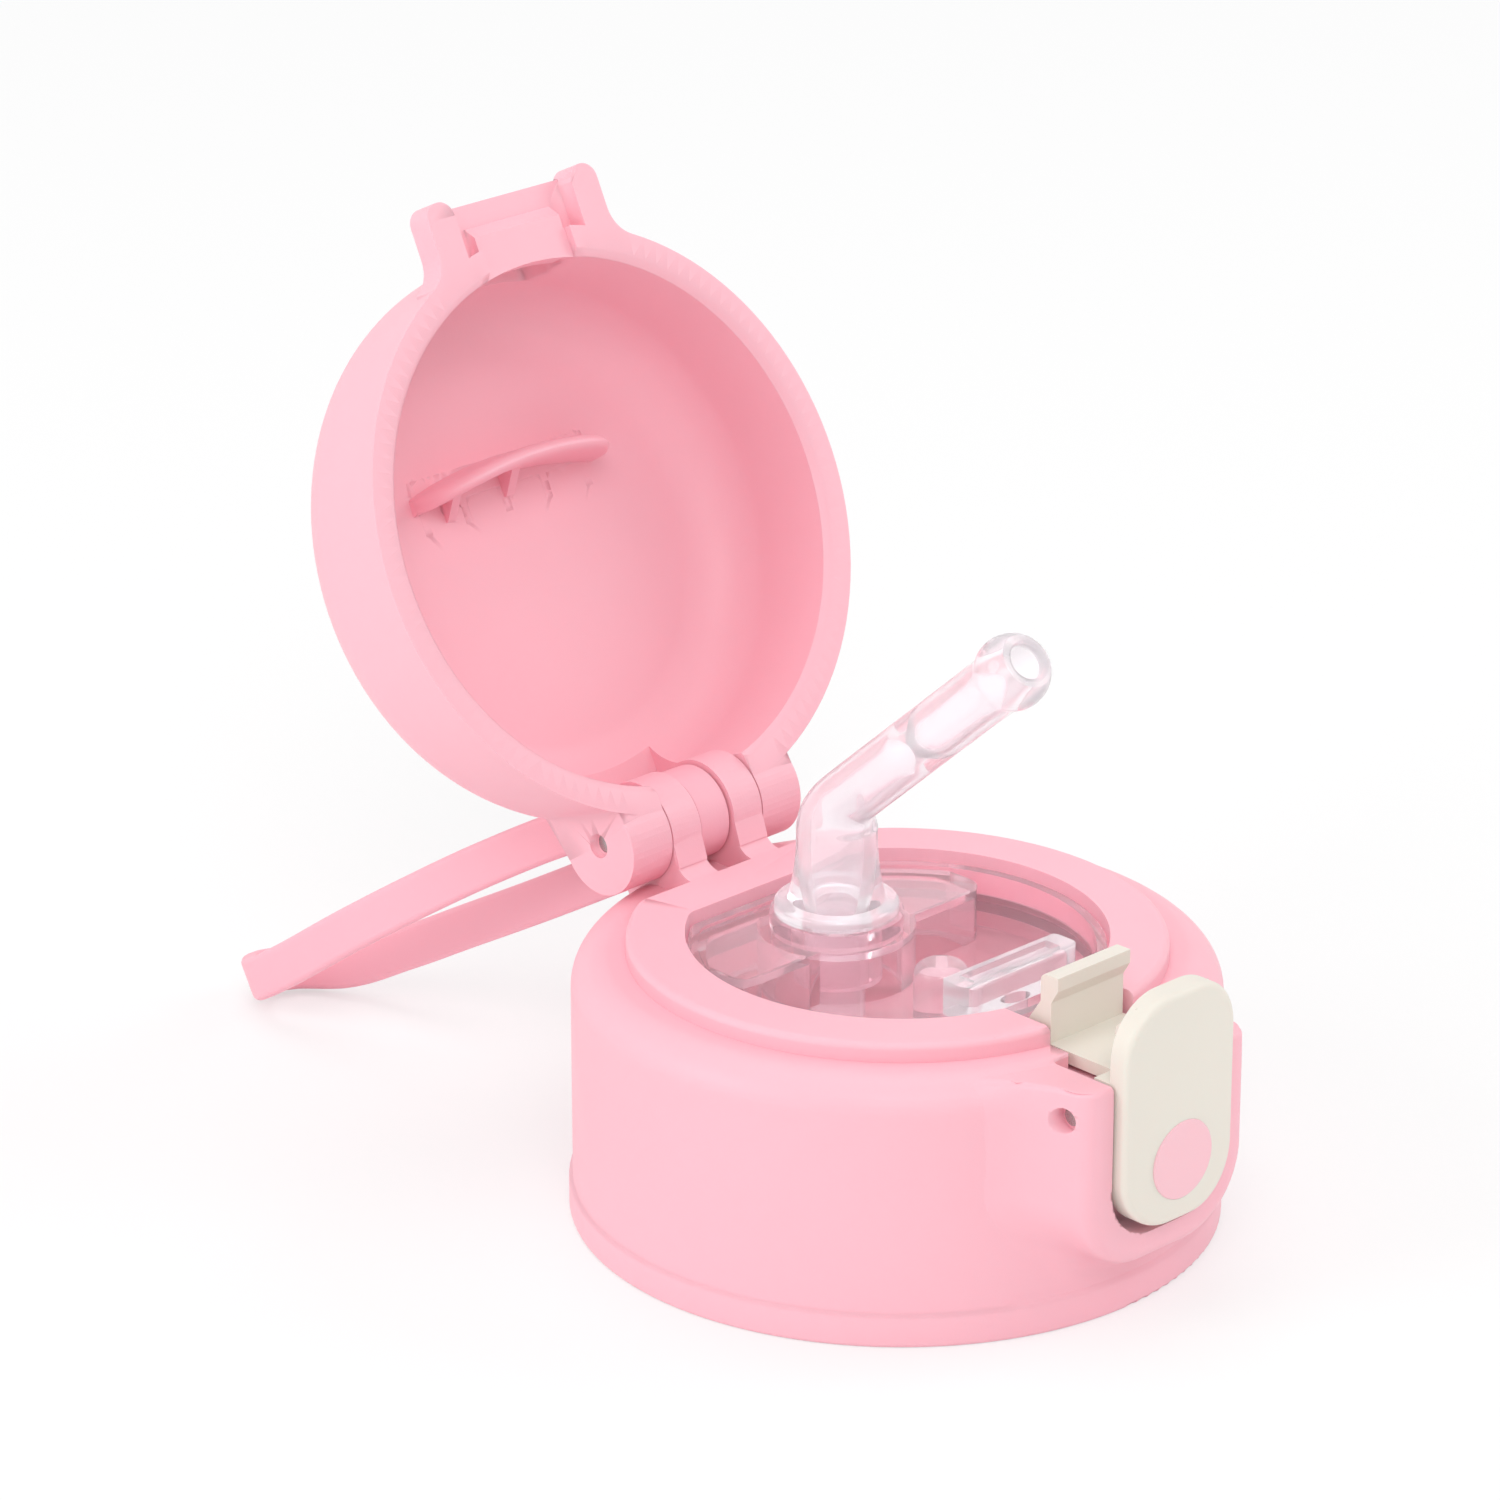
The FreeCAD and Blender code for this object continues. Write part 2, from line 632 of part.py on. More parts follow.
def straw_spout():
    """Built skin by skin from the stub's end, out to the mouth and back down the bore."""
    up = Vector(0, 0, 1)
    low = Vector(0, S["port_back"], S["spout_stub_bottom"])
    neck = Vector(0, S["port_back"], S["port_tube_bottom"])
    base = Vector(0, S["port_back"], S["port_collar_top"])
    top = base + up * S["spout_flange_thick"]
    bevel = S["spout_flange_thick"] / 3
    stations = spout_stations()
    tip, arm, arm_radius = stations.pop()
    bulb = S["spout_bulb_radius"]
    depth = S["spout_face_depth"]
    for along_arm in (-0.62 * bulb, -0.3 * bulb, 0, 0.35 * bulb, depth):
        stations.append((tip + arm * along_arm, arm, math.sqrt(bulb ** 2 - along_arm ** 2)))
    face, way, face_radius = stations[-1]
    stub = S["spout_stub_radius"]
    plug = S["spout_plug_radius"]
    narrow = stub - S["spout_wall"] / 2
    flange = S["spout_flange_radius"]
    bore = [(base, up, narrow)]
    bore += [(place, turn, size - S["spout_wall"]) for place, turn, size in stations[1:10]]
    bore.append((face, way, S["spout_mouth_radius"]))
    faces = [ring_face(low, up, stub, narrow)]
    faces += tube_skin([(low, up, stub), (neck, up, stub)])
    faces.append(ring_face(neck, up, plug, stub))
    faces += tube_skin([(neck, up, plug), (base, up, plug)])
    faces.append(ring_face(base, up, flange, plug))
    faces += tube_skin([(base, up, flange), (top - up * bevel, up, flange)])
    faces += tube_skin([(top - up * bevel, up, flange), (top, up, flange - bevel)])
    faces.append(ring_face(top, up, flange - bevel, S["spout_flare_radius"]))
    faces += tube_skin(stations)
    faces.append(ring_face(face, way, face_radius, S["spout_mouth_radius"]))
    faces += tube_skin(bore)
    faces += tube_skin([(low, up, narrow), (base, up, narrow)])
    shell = Part.makeShell(faces)
    shell.sewShape()
    solid = Part.makeSolid(shell)
    if solid.Volume < 0:
        solid.reverse()
    spout = doc.addObject("Part::Feature", "spout_finished")
    spout.Shape = solid
    node(spout, "straw_spout")


# Lid, modelled closed and then opened by its placement
def lid_shell():
    top = "lid_rise"
    sphere_centre = f"{RIM} + lid_rise - lid_crown_radius"
    outer_wall = cone("lid_outer_cone", "lid_rim_radius", "lid_top_radius", top, (0, 0, RIM))
    outer_crown = bind(doc.addObject("Part::Sphere", "lid_outer_crown"), {"Radius": "lid_crown_radius"})
    put(outer_crown, (0, 0, sphere_centre))
    inner_wall = cone("lid_inner_cone", "lid_mouth_radius", "lid_top_radius - lid_wall",
                      "lid_rise - lid_wall", (0, 0, RIM))
    inner_crown = bind(doc.addObject("Part::Sphere", "lid_inner_crown"),
                       {"Radius": "lid_crown_radius - lid_wall"})
    put(inner_crown, (0, 0, sphere_centre))
    high = S["shoulder_height"] + S["lid_rise"] * 0.6

    def upper_ring(edge):
        return edge.BoundBox.ZMin > high and edge.BoundBox.XLength > S["lid_top_radius"]

    outer = fillet("lid_outer", common("lid_outer_block", [outer_wall, outer_crown]),
                   (S["lid_round"], upper_ring))
    inner = fillet("lid_inner", common("lid_inner_block", [inner_wall, inner_crown]),
                   (S["lid_round"] - S["lid_wall"], upper_ring))
    return outer, inner


def lid_ear(side):
    left, right = span(side, LID_EAR_IN, LID_EAR_OUT)
    barrel = cylinder(f"lid_ear_{side}_barrel", "ear_radius", "lid_ear_width",
                      (left, "hinge_back", "hinge_height"), "x")
    foot = across(f"lid_ear_{side}_foot", [
        ("lid_mouth_radius", f"{RIM} + lid_gap"),
        ("lid_top_radius - lid_wall - lid_ear_width / 6", "lid_ear_top"),
        ("hinge_back + ear_radius * cos(60)", "hinge_height + ear_radius * sin(60)"),
        ("hinge_back + ear_radius", "hinge_height"),
        ("hinge_back", "hinge_height - ear_radius"),
    ], left, right)
    return [barrel, foot]


# Front bracket of the lid: two arms, a thin skin between them and the catch under it
def lid_bracket():
    pieces = blend_wing("bracket_wing", "bracket_half", "bracket_blend", "lid_rim_radius", RIM, "bracket_top")
    for side in SIDES:
        left, right = span(side, POCKET_HALF, "bracket_half")
        arm = box(f"bracket_arm_{side}", left, right, "-bracket_front", "-lid_mouth_radius + lid_gap",
                  RIM, "bracket_top")
        pieces.append(fillet(f"bracket_arm_{side}_rounded", arm,
                             (S["bracket_round"], upright(y=-S["bracket_front"]))))
    pieces.append(box("bracket_skin", "-bracket_half + bracket_round", "bracket_half - bracket_round",
                      "-skin_front", "-lid_mouth_radius - lid_gap", "bracket_top - skin_thick", "bracket_top"))
    catch = across("catch_block", [
        ("-catch_front", "bracket_top - skin_thick / 2"),
        ("-catch_front", "catch_bottom + catch_bevel"),
        ("-catch_front + catch_bevel", "catch_bottom"),
        ("-lid_mouth_radius", "catch_bottom"),
        ("-lid_mouth_radius", "bracket_top - skin_thick / 2"),
    ], "-catch_half", "catch_half")
    return pieces + [catch]


# Plate inside the lid that pinches the straw, with gussets behind it
def straw_plate():
    inner_top = f"{RIM} + lid_rise - lid_wall"
    plate = box("rib_plate", "-rib_half", "rib_half", "-rib_front", "-rib_front + rib_thick",
                "rib_free_edge", f"{inner_top} + lid_wall / 3")
    pieces = [fillet("rib_plate_rounded", plate, (S["rib_corner"], along("y", z=S["rib_free_edge"])))]
    pieces.append(box("rib_base", "-rib_half", "rib_half", "-rib_front - rib_foot",
                      "-rib_front + rib_thick + rib_foot", f"{inner_top} - rib_foot",
                      f"{inner_top} + lid_wall / 3"))
    for index in range(-2, 3):
        middle = f"{index} * rib_gusset_pitch"
        pieces.append(across(f"rib_gusset_{index + 3}", [
            ("-rib_front + rib_thick / 2", "rib_gusset_low"),
            ("-rib_front + rib_thick / 2", f"{inner_top} + lid_wall / 3"),
            ("-rib_front + rib_thick + rib_gusset_reach", f"{inner_top} + lid_wall / 3"),
            ("-rib_front + rib_thick + rib_gusset_reach", f"{inner_top} - rib_foot"),
        ], f"{middle} - rib_gusset_thick / 2", f"{middle} + rib_gusset_thick / 2"))
    return pieces


def lid():
    outer, inner = lid_shell()
    ears = [piece for side in SIDES for piece in lid_ear(side)]
    walls = cut("lid_walls", fuse("lid_outside", [outer] + ears), inner)
    solid = fuse("lid_solid", [walls] + lid_bracket() + straw_plate())
    bevel = cone("lid_rim_cone", "lid_mouth_radius + lid_rim_bevel", "lid_mouth_radius", "lid_rim_bevel",
                 (0, 0, RIM))
    cutout = box("hinge_cutout", f"-({LID_EAR_IN})", LID_EAR_IN, "lid_top_radius - 3 * lid_wall",
                 f"hinge_back + ear_radius + {PAST}", f"{RIM} - {PAST}", "lid_cutout_top")
    recess = common("lip_recess", [
        cylinder("lip_recess_disc", "lip_recess_radius", "lip_recess_top - bracket_top", (0, 0, "bracket_top")),
        box("lip_recess_limit", "-lip_recess_half", "lip_recess_half", "-lid_rim_radius", "0",
            "bracket_top", "lip_recess_top"),
    ])
    notch = box("catch_notch", "-lip_recess_half", "lip_recess_half", f"-lid_rim_radius - {PAST}",
                f"-lid_mouth_radius + {PAST}", f"{RIM} - {PAST}", "catch_bottom")
    tools = [bevel, cutout, recess, notch]
    tools.append(cylinder("lid_ear_bore", PIN_BORE, f"2 * ({LID_EAR_OUT})",
                          (f"-({LID_EAR_OUT})", "hinge_back", "hinge_height"), "x"))
    for side in SIDES:
        left, right = span(side, f"{LID_EAR_OUT} - pin_recess", f"{LID_EAR_OUT} + {PAST}")
        tools.append(cylinder(f"lid_ear_mouth_{side}", "pin_mouth_radius", f"pin_recess + {PAST}",
                              (left, "hinge_back", "hinge_height"), "x"))
    item = carve("lid_finished", solid, tools)
    item.Placement = Placement(Vector(), Rotation(Vector(1, 0, 0), -S["lid_opening_angle"]), HINGE)
    node(item, "lid")


# Carry loop: a barrel on the hinge pin and a flat band that leaves it and comes back
def loop_frame(across_x, reach, lift):
    """A point of the loop from its own frame: along X, out from the hinge, and above the middle line."""
    angle = math.radians(S["loop_hang_angle"])
    out = Vector(0, math.cos(angle), -math.sin(angle))
    lifted = Vector(0, math.sin(angle), math.cos(angle))
    return HINGE + Vector(across_x, 0, 0) + out * reach + lifted * lift


LOOP_ROUTE = [
    (-1.0, 3.6, 1.6), (-1.0, 6.9, 0.7), (-4.3, 13.5, 1.5), (-11.5, 30.0, 2.5), (-17.5, 45.0, 0.9),
    (-18.8, 56.0, -0.5), (-12.6, 63.6, -0.7), (0.0, 65.4, -0.45), (12.6, 63.6, -0.8), (18.8, 56.0, -2.2),
    (17.5, 45.0, -3.2), (11.5, 30.0, -3.1), (4.3, 13.5, -2.75), (1.0, 6.9, -2.6), (1.0, 3.6, -2.6),
]


def band_section(place, way):
    """A rounded rectangle across the band's run, its long side as upright as the run allows."""
    up = loop_frame(0, 0, 1) - HINGE
    upright_way = (up - way * up.dot(way)).normalize()
    side = way.cross(upright_way)
    half_width = S["loop_width"] / 2
    half_thick = S["loop_thickness"] / 2
    radius = S["loop_edge_round"]
    corners = []
    for a, b in ((1, 1), (-1, 1), (-1, -1), (1, -1)):
        middle = place + side * a * (half_thick - radius) + upright_way * b * (half_width - radius)
        corners.append((middle, side * a * radius, upright_way * b * radius))
    edges = []
    for index, (middle, outward, upward) in enumerate(corners):
        first, last = (outward, upward) if index % 2 == 0 else (upward, outward)
        halfway = (outward + upward).normalize() * radius
        edges.append(Part.Arc(middle + first, middle + halfway, middle + last).toShape())
    lines = []
    for index, edge in enumerate(edges):
        lines.append(edge)
        following = edges[(index + 1) % len(edges)]
        lines.append(Part.LineSegment(edge.Vertexes[-1].Point, following.Vertexes[0].Point).toShape())
    return Part.Wire(lines)


def carry_loop():
    route = Part.BSplineCurve()
    route.interpolate([loop_frame(*point) for point in LOOP_ROUTE])
    count = 36
    sections = []
    for index in range(count + 1):
        at = route.FirstParameter + (route.LastParameter - route.FirstParameter) * index / count
        sections.append(band_section(route.value(at), route.tangent(at)[0]))
    band = Part.makeLoft(sections, True, False, False, 3)
    left = Vector(-S["hub_half"], HINGE.y, HINGE.z)
    hub = Part.makeCylinder(S["hub_radius"], 2 * S["hub_half"], left, Vector(1, 0, 0))
    bore = Part.makeCylinder(S["pin_radius"] + S["pin_clearance"], 4 * S["hub_half"],
                             left - Vector(S["hub_half"], 0, 0), Vector(1, 0, 0))
    item = doc.addObject("Part::Feature", "loop_finished")
    item.Shape = hub.fuse(band).cut(bore)
    node(item, "carry_loop")


# Metal pins
def pins():
    reach = f"{LID_EAR_OUT} - pin_recess"
    node(cylinder("hinge_pin_rod", "pin_radius", f"2 * ({reach})",
                  (f"-({reach})", "hinge_back", "hinge_height"), "x"), "hinge_pin")
    reach = "housing_half - pin_recess"
    node(cylinder("latch_pin_rod", "pin_radius", f"2 * ({reach})",
                  (f"-({reach})", "-latch_pivot_front", "latch_pivot_height"), "x"), "latch_pin")


# Latch: plate, pivot barrel, floor that runs into the cap, inner wall with its lip, and the barb
def latch():
    plate = box("latch_plate", "-latch_half", "latch_half", "-latch_front", "-latch_back",
                "latch_bottom", "latch_top")
    ends = fillet("latch_plate_rounded", plate,
                  (S["latch_corner"], along("y", z=S["latch_bottom"])),
                  (S["latch_corner"], along("y", z=S["latch_top"])))
    crown = cylinder("latch_crown", "latch_crown_radius", "latch_top",
                     (0, "-latch_front + latch_crown_radius", "latch_floor_thick"))
    curved = common("latch_curved", [ends, crown])

    def front_edge(edge):
        return edge.BoundBox.YMax < -S["latch_back"] - S["latch_edge"]

    shaped = fillet("latch_softened", curved, (S["latch_edge"], front_edge))
    barb_low = "bracket_top + barb_gap"
    sunk = "latch_back + latch_edge"
    barb = across("latch_barb", [
        (f"-({sunk})", barb_low),
        ("-barb_tip_front", barb_low),
        ("-barb_tip_front - barb_gap", f"{barb_low} + barb_rise / 4"),
        (f"-({sunk})", f"{barb_low} + barb_rise"),
    ], "-barb_half", "barb_half")
    floor_top = "latch_floor_low + latch_floor_thick"
    floor = box("latch_floor", "-latch_floor_half", "latch_floor_half", f"-({sunk})",
                "-latch_wall_front + latch_wall_thick", "latch_floor_low", floor_top)
    web = box("latch_web", "-latch_half", "latch_half", f"-({sunk})", "-latch_pivot_front",
              "latch_web_bottom", floor_top)
    barrel = cylinder("latch_barrel", "latch_barrel_radius", "2 * latch_half",
                      ("-latch_half", "-latch_pivot_front", "latch_pivot_height"), "x")
    wall = across("latch_wall", [
        ("-latch_wall_front", "latch_floor_low"),
        ("-latch_wall_front", "latch_lip_top - 2 * latch_wall_thick"),
        ("-latch_lip_front", "latch_lip_top - latch_wall_thick"),
        ("-latch_lip_front", "latch_lip_top"),
        ("-latch_wall_front + latch_wall_thick", "latch_lip_top"),
        ("-latch_wall_front + latch_wall_thick", "latch_floor_low"),
    ], "-barb_half", "barb_half")
    lip = fillet("latch_wall_rounded", wall,
                 (S["latch_wall_thick"] / 2, along("x", y=-S["latch_wall_front"] + S["latch_wall_thick"],
                                                   z=S["latch_lip_top"])))
    gussets = []
    for side in SIDES:
        left, right = span(side, "barb_half - latch_gusset_thick", "barb_half")
        back = "-latch_wall_front + latch_wall_thick"
        gussets.append(across(f"latch_gusset_{side}", [
            (f"{back} - 0.5", "latch_floor_low"),
            (f"{back} - 0.5", "latch_gusset_top"),
            (f"{back} + latch_gusset_reach", floor_top),
            (f"{back} + latch_gusset_reach", "latch_floor_low"),
        ], left, right))
    solid = fuse("latch_solid", [shaped, barb, floor, web, barrel, lip] + gussets)
    bore = cylinder("latch_bore", PIN_BORE, "4 * latch_half",
                    ("-2 * latch_half", "-latch_pivot_front", "latch_pivot_height"), "x")
    seat = cylinder("dot_seat", "dot_radius", "2 * dot_thick",
                    (0, "-latch_front + dot_thick - 2 * dot_thick", "dot_height"), "y")
    node(carve("latch_finished", solid, [bore, seat]), "latch")
    dot = cylinder("dot_disc", "dot_radius", "dot_thick + dot_proud",
                   (0, "-latch_front - dot_proud", "dot_height"), "y")
    node(fillet("dot_finished", dot, (S["dot_proud"] * 2, lambda edge: edge.BoundBox.YMax < -S["latch_front"])),
         "latch_dot")


# Compression spring behind the lower end of the latch
def latch_spring():
    room = S["latch_back"] - S["pocket_back"] - 2 * (S["spring_gap"] + S["spring_wire"])
    helix = Part.makeHelix(room / S["spring_turns"], room, S["spring_radius"])
    sides = 8
    turns = [2 * math.pi * index / sides for index in range(sides)]
    corners = [Vector(S["spring_radius"] + S["spring_wire"] * math.cos(turn), 0, S["spring_wire"] * math.sin(turn))
               for turn in turns]
    section = Part.makePolygon(corners + corners[:1])
    coil = Part.Wire(helix.Edges).makePipeShell([section], True, True)
    item = doc.addObject("Part::Feature", "spring_finished")
    item.Shape = coil
    start = -S["latch_back"] + S["spring_gap"] + S["spring_wire"]
    item.Placement = Placement(Vector(0, start, S["spring_height"]), AXES["y"])
    node(item, "latch_spring")


# Silicone ring that seals the cap on the bottle's mouth
def bottle_gasket():
    outer = f"{SEAL_BORE} - gasket_outer_gap"
    node(revolve("gasket_turned", [
        ("gasket_inner", "gasket_seat"),
        (outer, "gasket_seat"),
        (outer, "gasket_seat - gasket_thick + gasket_lip / 2"),
        (f"{outer} - gasket_lip", "gasket_seat - gasket_thick"),
        (f"{outer} - 2 * gasket_lip", "gasket_seat - gasket_thick + gasket_lip / 2"),
        ("gasket_inner", "gasket_seat - gasket_thick + gasket_lip / 2"),
    ]), "bottle_gasket")


cap_body()
clear_insert()
vent_valve()
straw_spout()
lid()
carry_loop()
pins()
latch()
latch_spring()
bottle_gasket()
doc.recompute()

for item in doc.Objects:
    if "Invalid" in item.State or "Error" in item.State:
        raise RuntimeError(f"{item.Label} failed: {item.State}")
for item in NODES:
    if item.Shape.isNull() or not item.Shape.isValid():
        raise RuntimeError(f"{item.Label} has no valid shape")
    item.Shape.exportStep(f"parts/{item.Label}.step")
    box = item.Shape.BoundBox
    print(item.Label, len(item.Shape.Solids), round(item.Shape.Volume, 1),
          [round(v, 2) for v in (box.XMin, box.XMax, box.YMin, box.YMax, box.ZMin, box.ZMax)])
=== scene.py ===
"""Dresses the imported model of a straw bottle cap: finishes, the mouthpiece, the inner thread, the spring and the studio."""

import math
from types import SimpleNamespace

import bpy
import bmesh
from bpy.props import FloatProperty, FloatVectorProperty, IntProperty, PointerProperty
from mathutils import Matrix, Vector


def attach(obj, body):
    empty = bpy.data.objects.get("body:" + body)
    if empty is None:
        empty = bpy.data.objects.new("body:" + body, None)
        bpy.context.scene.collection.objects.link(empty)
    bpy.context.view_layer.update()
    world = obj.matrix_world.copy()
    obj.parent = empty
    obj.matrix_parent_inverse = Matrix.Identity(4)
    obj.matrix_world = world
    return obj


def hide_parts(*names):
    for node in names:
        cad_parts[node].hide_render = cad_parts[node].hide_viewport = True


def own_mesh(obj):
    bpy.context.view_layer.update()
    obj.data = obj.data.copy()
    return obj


bl_info = {
    "name": "Straw bottle cap",
    "version": (1, 0, 0),
    "blender": (4, 5, 0),
    "location": "View3D > Sidebar > Bottle cap",
    "description": "Finishes and fine pieces of a flip-top bottle cap with a straw",
    "category": "Object",
}

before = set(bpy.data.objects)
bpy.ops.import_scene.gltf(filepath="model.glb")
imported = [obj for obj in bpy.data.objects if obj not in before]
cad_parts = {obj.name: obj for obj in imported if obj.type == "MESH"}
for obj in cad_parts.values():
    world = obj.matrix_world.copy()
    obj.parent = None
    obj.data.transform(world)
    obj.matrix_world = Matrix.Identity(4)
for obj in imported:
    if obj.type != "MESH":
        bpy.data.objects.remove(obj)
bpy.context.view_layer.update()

MM = 0.001
UP = Vector((0.0, 0.0, 1.0))
PORT_BACK = 9.2
HINGE = Vector((0.0, 33.2, 35.3))

STEEL_NODES = ("hinge_pin", "latch_pin")


# Sizes and colours that a user would change
def colour(name, description, default):
    return FloatVectorProperty(name=name, description=description, subtype="COLOR", size=3, min=0.0, max=1.0,
                               default=default)


def share(name, description, default):
    return FloatProperty(name=name, description=description, subtype="FACTOR", min=0.0, max=1.0, default=default)


def length(name, description, millimetres):
    return FloatProperty(name=name, description=description, subtype="DISTANCE", unit="LENGTH", min=0.0,
                         default=millimetres * MM)


class CapFinishes(bpy.types.PropertyGroup):
    pink: colour("Pink", "Colour of the moulded cap and lid", (0.95, 0.50, 0.575))
    loop_pink: colour("Loop pink", "Colour of the soft carry loop", (0.945, 0.475, 0.555))
    dot_pink: colour("Dot pink", "Colour of the round button in the latch", (0.95, 0.56, 0.62))
    latch_white: colour("Latch white", "Colour of the press latch", (0.80, 0.755, 0.675))
    insert_tint: colour("Insert tint", "Tint of the clear tray", (1.0, 0.82, 0.865))
    silicone_tint: colour("Silicone tint", "Tint of the clear silicone", (0.985, 0.955, 0.975))
    gasket_white: colour("Gasket white", "Colour of the sealing ring", (0.82, 0.81, 0.79))
    steel: colour("Steel", "Colour of the pins and the spring", (0.46, 0.455, 0.45))
    grain: length("Grain", "Size of the fine texture of the mould", 0.22)
    matte: share("Matte", "Roughness of the moulded plastic", 0.46)


class HousingSizes(bpy.types.PropertyGroup):
    half: length("Half width", "Half the width of the pad round the latch", 12.3)
    front: length("Front", "From the cap's axis to the pad's front", 39.5)
    bottom: length("Bottom", "Height of the pad's lower end", 7.4)
    corner: length("Corner", "Rounding of the pad's lower corners", 9.0)
    edge: length("Edge", "Rounding of the pad's front edge", 2.0)
    cove: length("Cove", "Hollow rounding where the pad's sides meet the skirt", 6.5)
    low_cove: length("Low cove", "Hollow rounding where the pad's lower end meets the skirt", 3.0)
    foot_round: length("Ear foot", "Hollow rounding from the plateau up to the hinge ears", 2.8)


class LidPlateSizes(bpy.types.PropertyGroup):
    half: length("Half width", "Half the width of the plate in the lid", 13.4)
    back: length("Place", "From the cap's axis to the plate's ends, towards the latch", 8.0)
    bow: length("Bow", "How far the plate bows towards the latch", 1.8)
    edge: length("Free edge", "Height of the free edge with the lid shut", 39.0)
    corner: length("Corner", "Rounding of the plate's free corners", 7.0)
    thick: length("Thickness", "Thickness of the plate", 1.7)
    gusset_reach: length("Gusset reach", "How far a gusset reaches behind the plate", 3.6)
    gusset_height: length("Gusset height", "Height of a gusset", 3.8)


class MouthpieceSizes(bpy.types.PropertyGroup):
    sides: IntProperty(name="Sides", description="Faces around the tube", default=72, min=12)
    wall: length("Wall", "Wall of the tube", 1.35)
    pinch: share("Pinch", "How far the valve in the arm narrows the bore", 0.55)


class ThreadSizes(bpy.types.PropertyGroup):
    pitch: length("Pitch", "Rise of the thread in one turn", 4.0)
    start: length("Start", "Height of the thread's lower end", 5.0)
    turns: FloatProperty(name="Turns", description="Turns of the thread", default=2.25, min=0.5)
    depth: length("Depth", "How far the ridge stands out of the wall", 1.1)
    root: length("Root", "Width of the ridge at the wall", 2.6)
    crest: length("Crest", "Width of the ridge at its top", 0.8)


class LoopSizes(bpy.types.PropertyGroup):
    width: length("Width", "Width of the band", 5.1)
    thickness: length("Thickness", "Thickness of the band", 2.3)
    edge: length("Edge", "Rounding of the band's long edges", 0.7)


class SpringSizes(bpy.types.PropertyGroup):
    coil: length("Coil", "Radius of the coil to the middle of the wire", 2.0)
    wire: length("Wire", "Radius of the wire", 0.25)
    turns: FloatProperty(name="Turns", description="Turns of the coil", default=4.0, min=1.0)


class StudioSizes(bpy.types.PropertyGroup):
    floor: colour("Floor", "Colour of the floor", (0.93, 0.93, 0.93))
    ambient: FloatProperty(name="Ambient", description="Strength of the even light", default=0.62, min=0.0)
    key: FloatProperty(name="Key", description="Strength of the lamps", default=0.95, min=0.0)


# Material nodes
def material(name):
    item = bpy.data.materials.new(name)
    item.use_nodes = True
    tree = item.node_tree
    tree.nodes.clear()
    output = tree.nodes.new("ShaderNodeOutputMaterial")
    shader = tree.nodes.new("ShaderNodeBsdfPrincipled")
    tree.links.new(shader.outputs["BSDF"], output.inputs["Surface"])
    return item, tree, shader


def set_inputs(node, **values):
    for key, value in values.items():
        node.inputs[key.replace("_", " ")].default_value = value


def place(tree):
    return tree.nodes.new("ShaderNodeTexCoord").outputs["Object"]


def noise(tree, coordinates, size, detail=2.0, roughness=0.5):
    """A noise whose bumps are about size metres apart."""
    item = tree.nodes.new("ShaderNodeTexNoise")
    set_inputs(item, Scale=1.0 / size, Detail=detail, Roughness=roughness)
    tree.links.new(coordinates, item.inputs["Vector"])
    return item.outputs["Fac"]


def between(tree, value, low, high, from_low=0.3, from_high=0.7):
    item = tree.nodes.new("ShaderNodeMapRange")
    set_inputs(item, From_Min=from_low, From_Max=from_high, To_Min=low, To_Max=high)
    tree.links.new(value, item.inputs["Value"])
    return item.outputs["Result"]


def tinted(tree, value, first, second):
    item = tree.nodes.new("ShaderNodeMix")
    item.data_type = "RGBA"
    for socket in item.inputs:
        if socket.name == "A" and socket.type == "RGBA":
            socket.default_value = (*first, 1.0)
        if socket.name == "B" and socket.type == "RGBA":
            socket.default_value = (*second, 1.0)
    tree.links.new(value, item.inputs[0])
    return next(socket for socket in item.outputs if socket.type == "RGBA")


def relief(tree, shader, heights):
    """Bumps on the surface: each of heights is a value and its depth in metres."""
    normal = None
    for value, depth in heights:
        item = tree.nodes.new("ShaderNodeBump")
        item.inputs["Distance"].default_value = depth
        tree.links.new(value, item.inputs["Height"])
        if normal is not None:
            tree.links.new(normal, item.inputs["Normal"])
        normal = item.outputs["Normal"]
    tree.links.new(normal, shader.inputs["Normal"])


def shade(base, factor):
    return tuple(min(1.0, channel * factor) for channel in base)


def moulded_plastic(name, base, roughness, grain, softness=0.12):
    """Matte moulded plastic: a fine even grain, faint waves from cooling, and a slow change of tint."""
    item, tree, shader = material(name)
    coordinates = place(tree)
    drift = noise(tree, coordinates, 0.035)
    tree.links.new(tinted(tree, between(tree, drift, 0.0, 1.0), shade(base, 0.985), shade(base, 1.012)),
                   shader.inputs["Base Color"])
    patches = noise(tree, coordinates, 0.006, detail=3.0)
    tree.links.new(between(tree, patches, roughness - 0.035, roughness + 0.035), shader.inputs["Roughness"])
    fine = noise(tree, coordinates, grain, detail=3.0, roughness=0.6)
    waves = noise(tree, coordinates, 0.011, detail=1.0)
    relief(tree, shader, [(waves, 0.00003), (fine, 0.000012)])
    set_inputs(shader, Subsurface_Weight=softness, Subsurface_Scale=0.0012, IOR=1.49, Specular_IOR_Level=0.42)
    shader.inputs["Subsurface Radius"].default_value = (1.0, 0.45, 0.45)
    return item


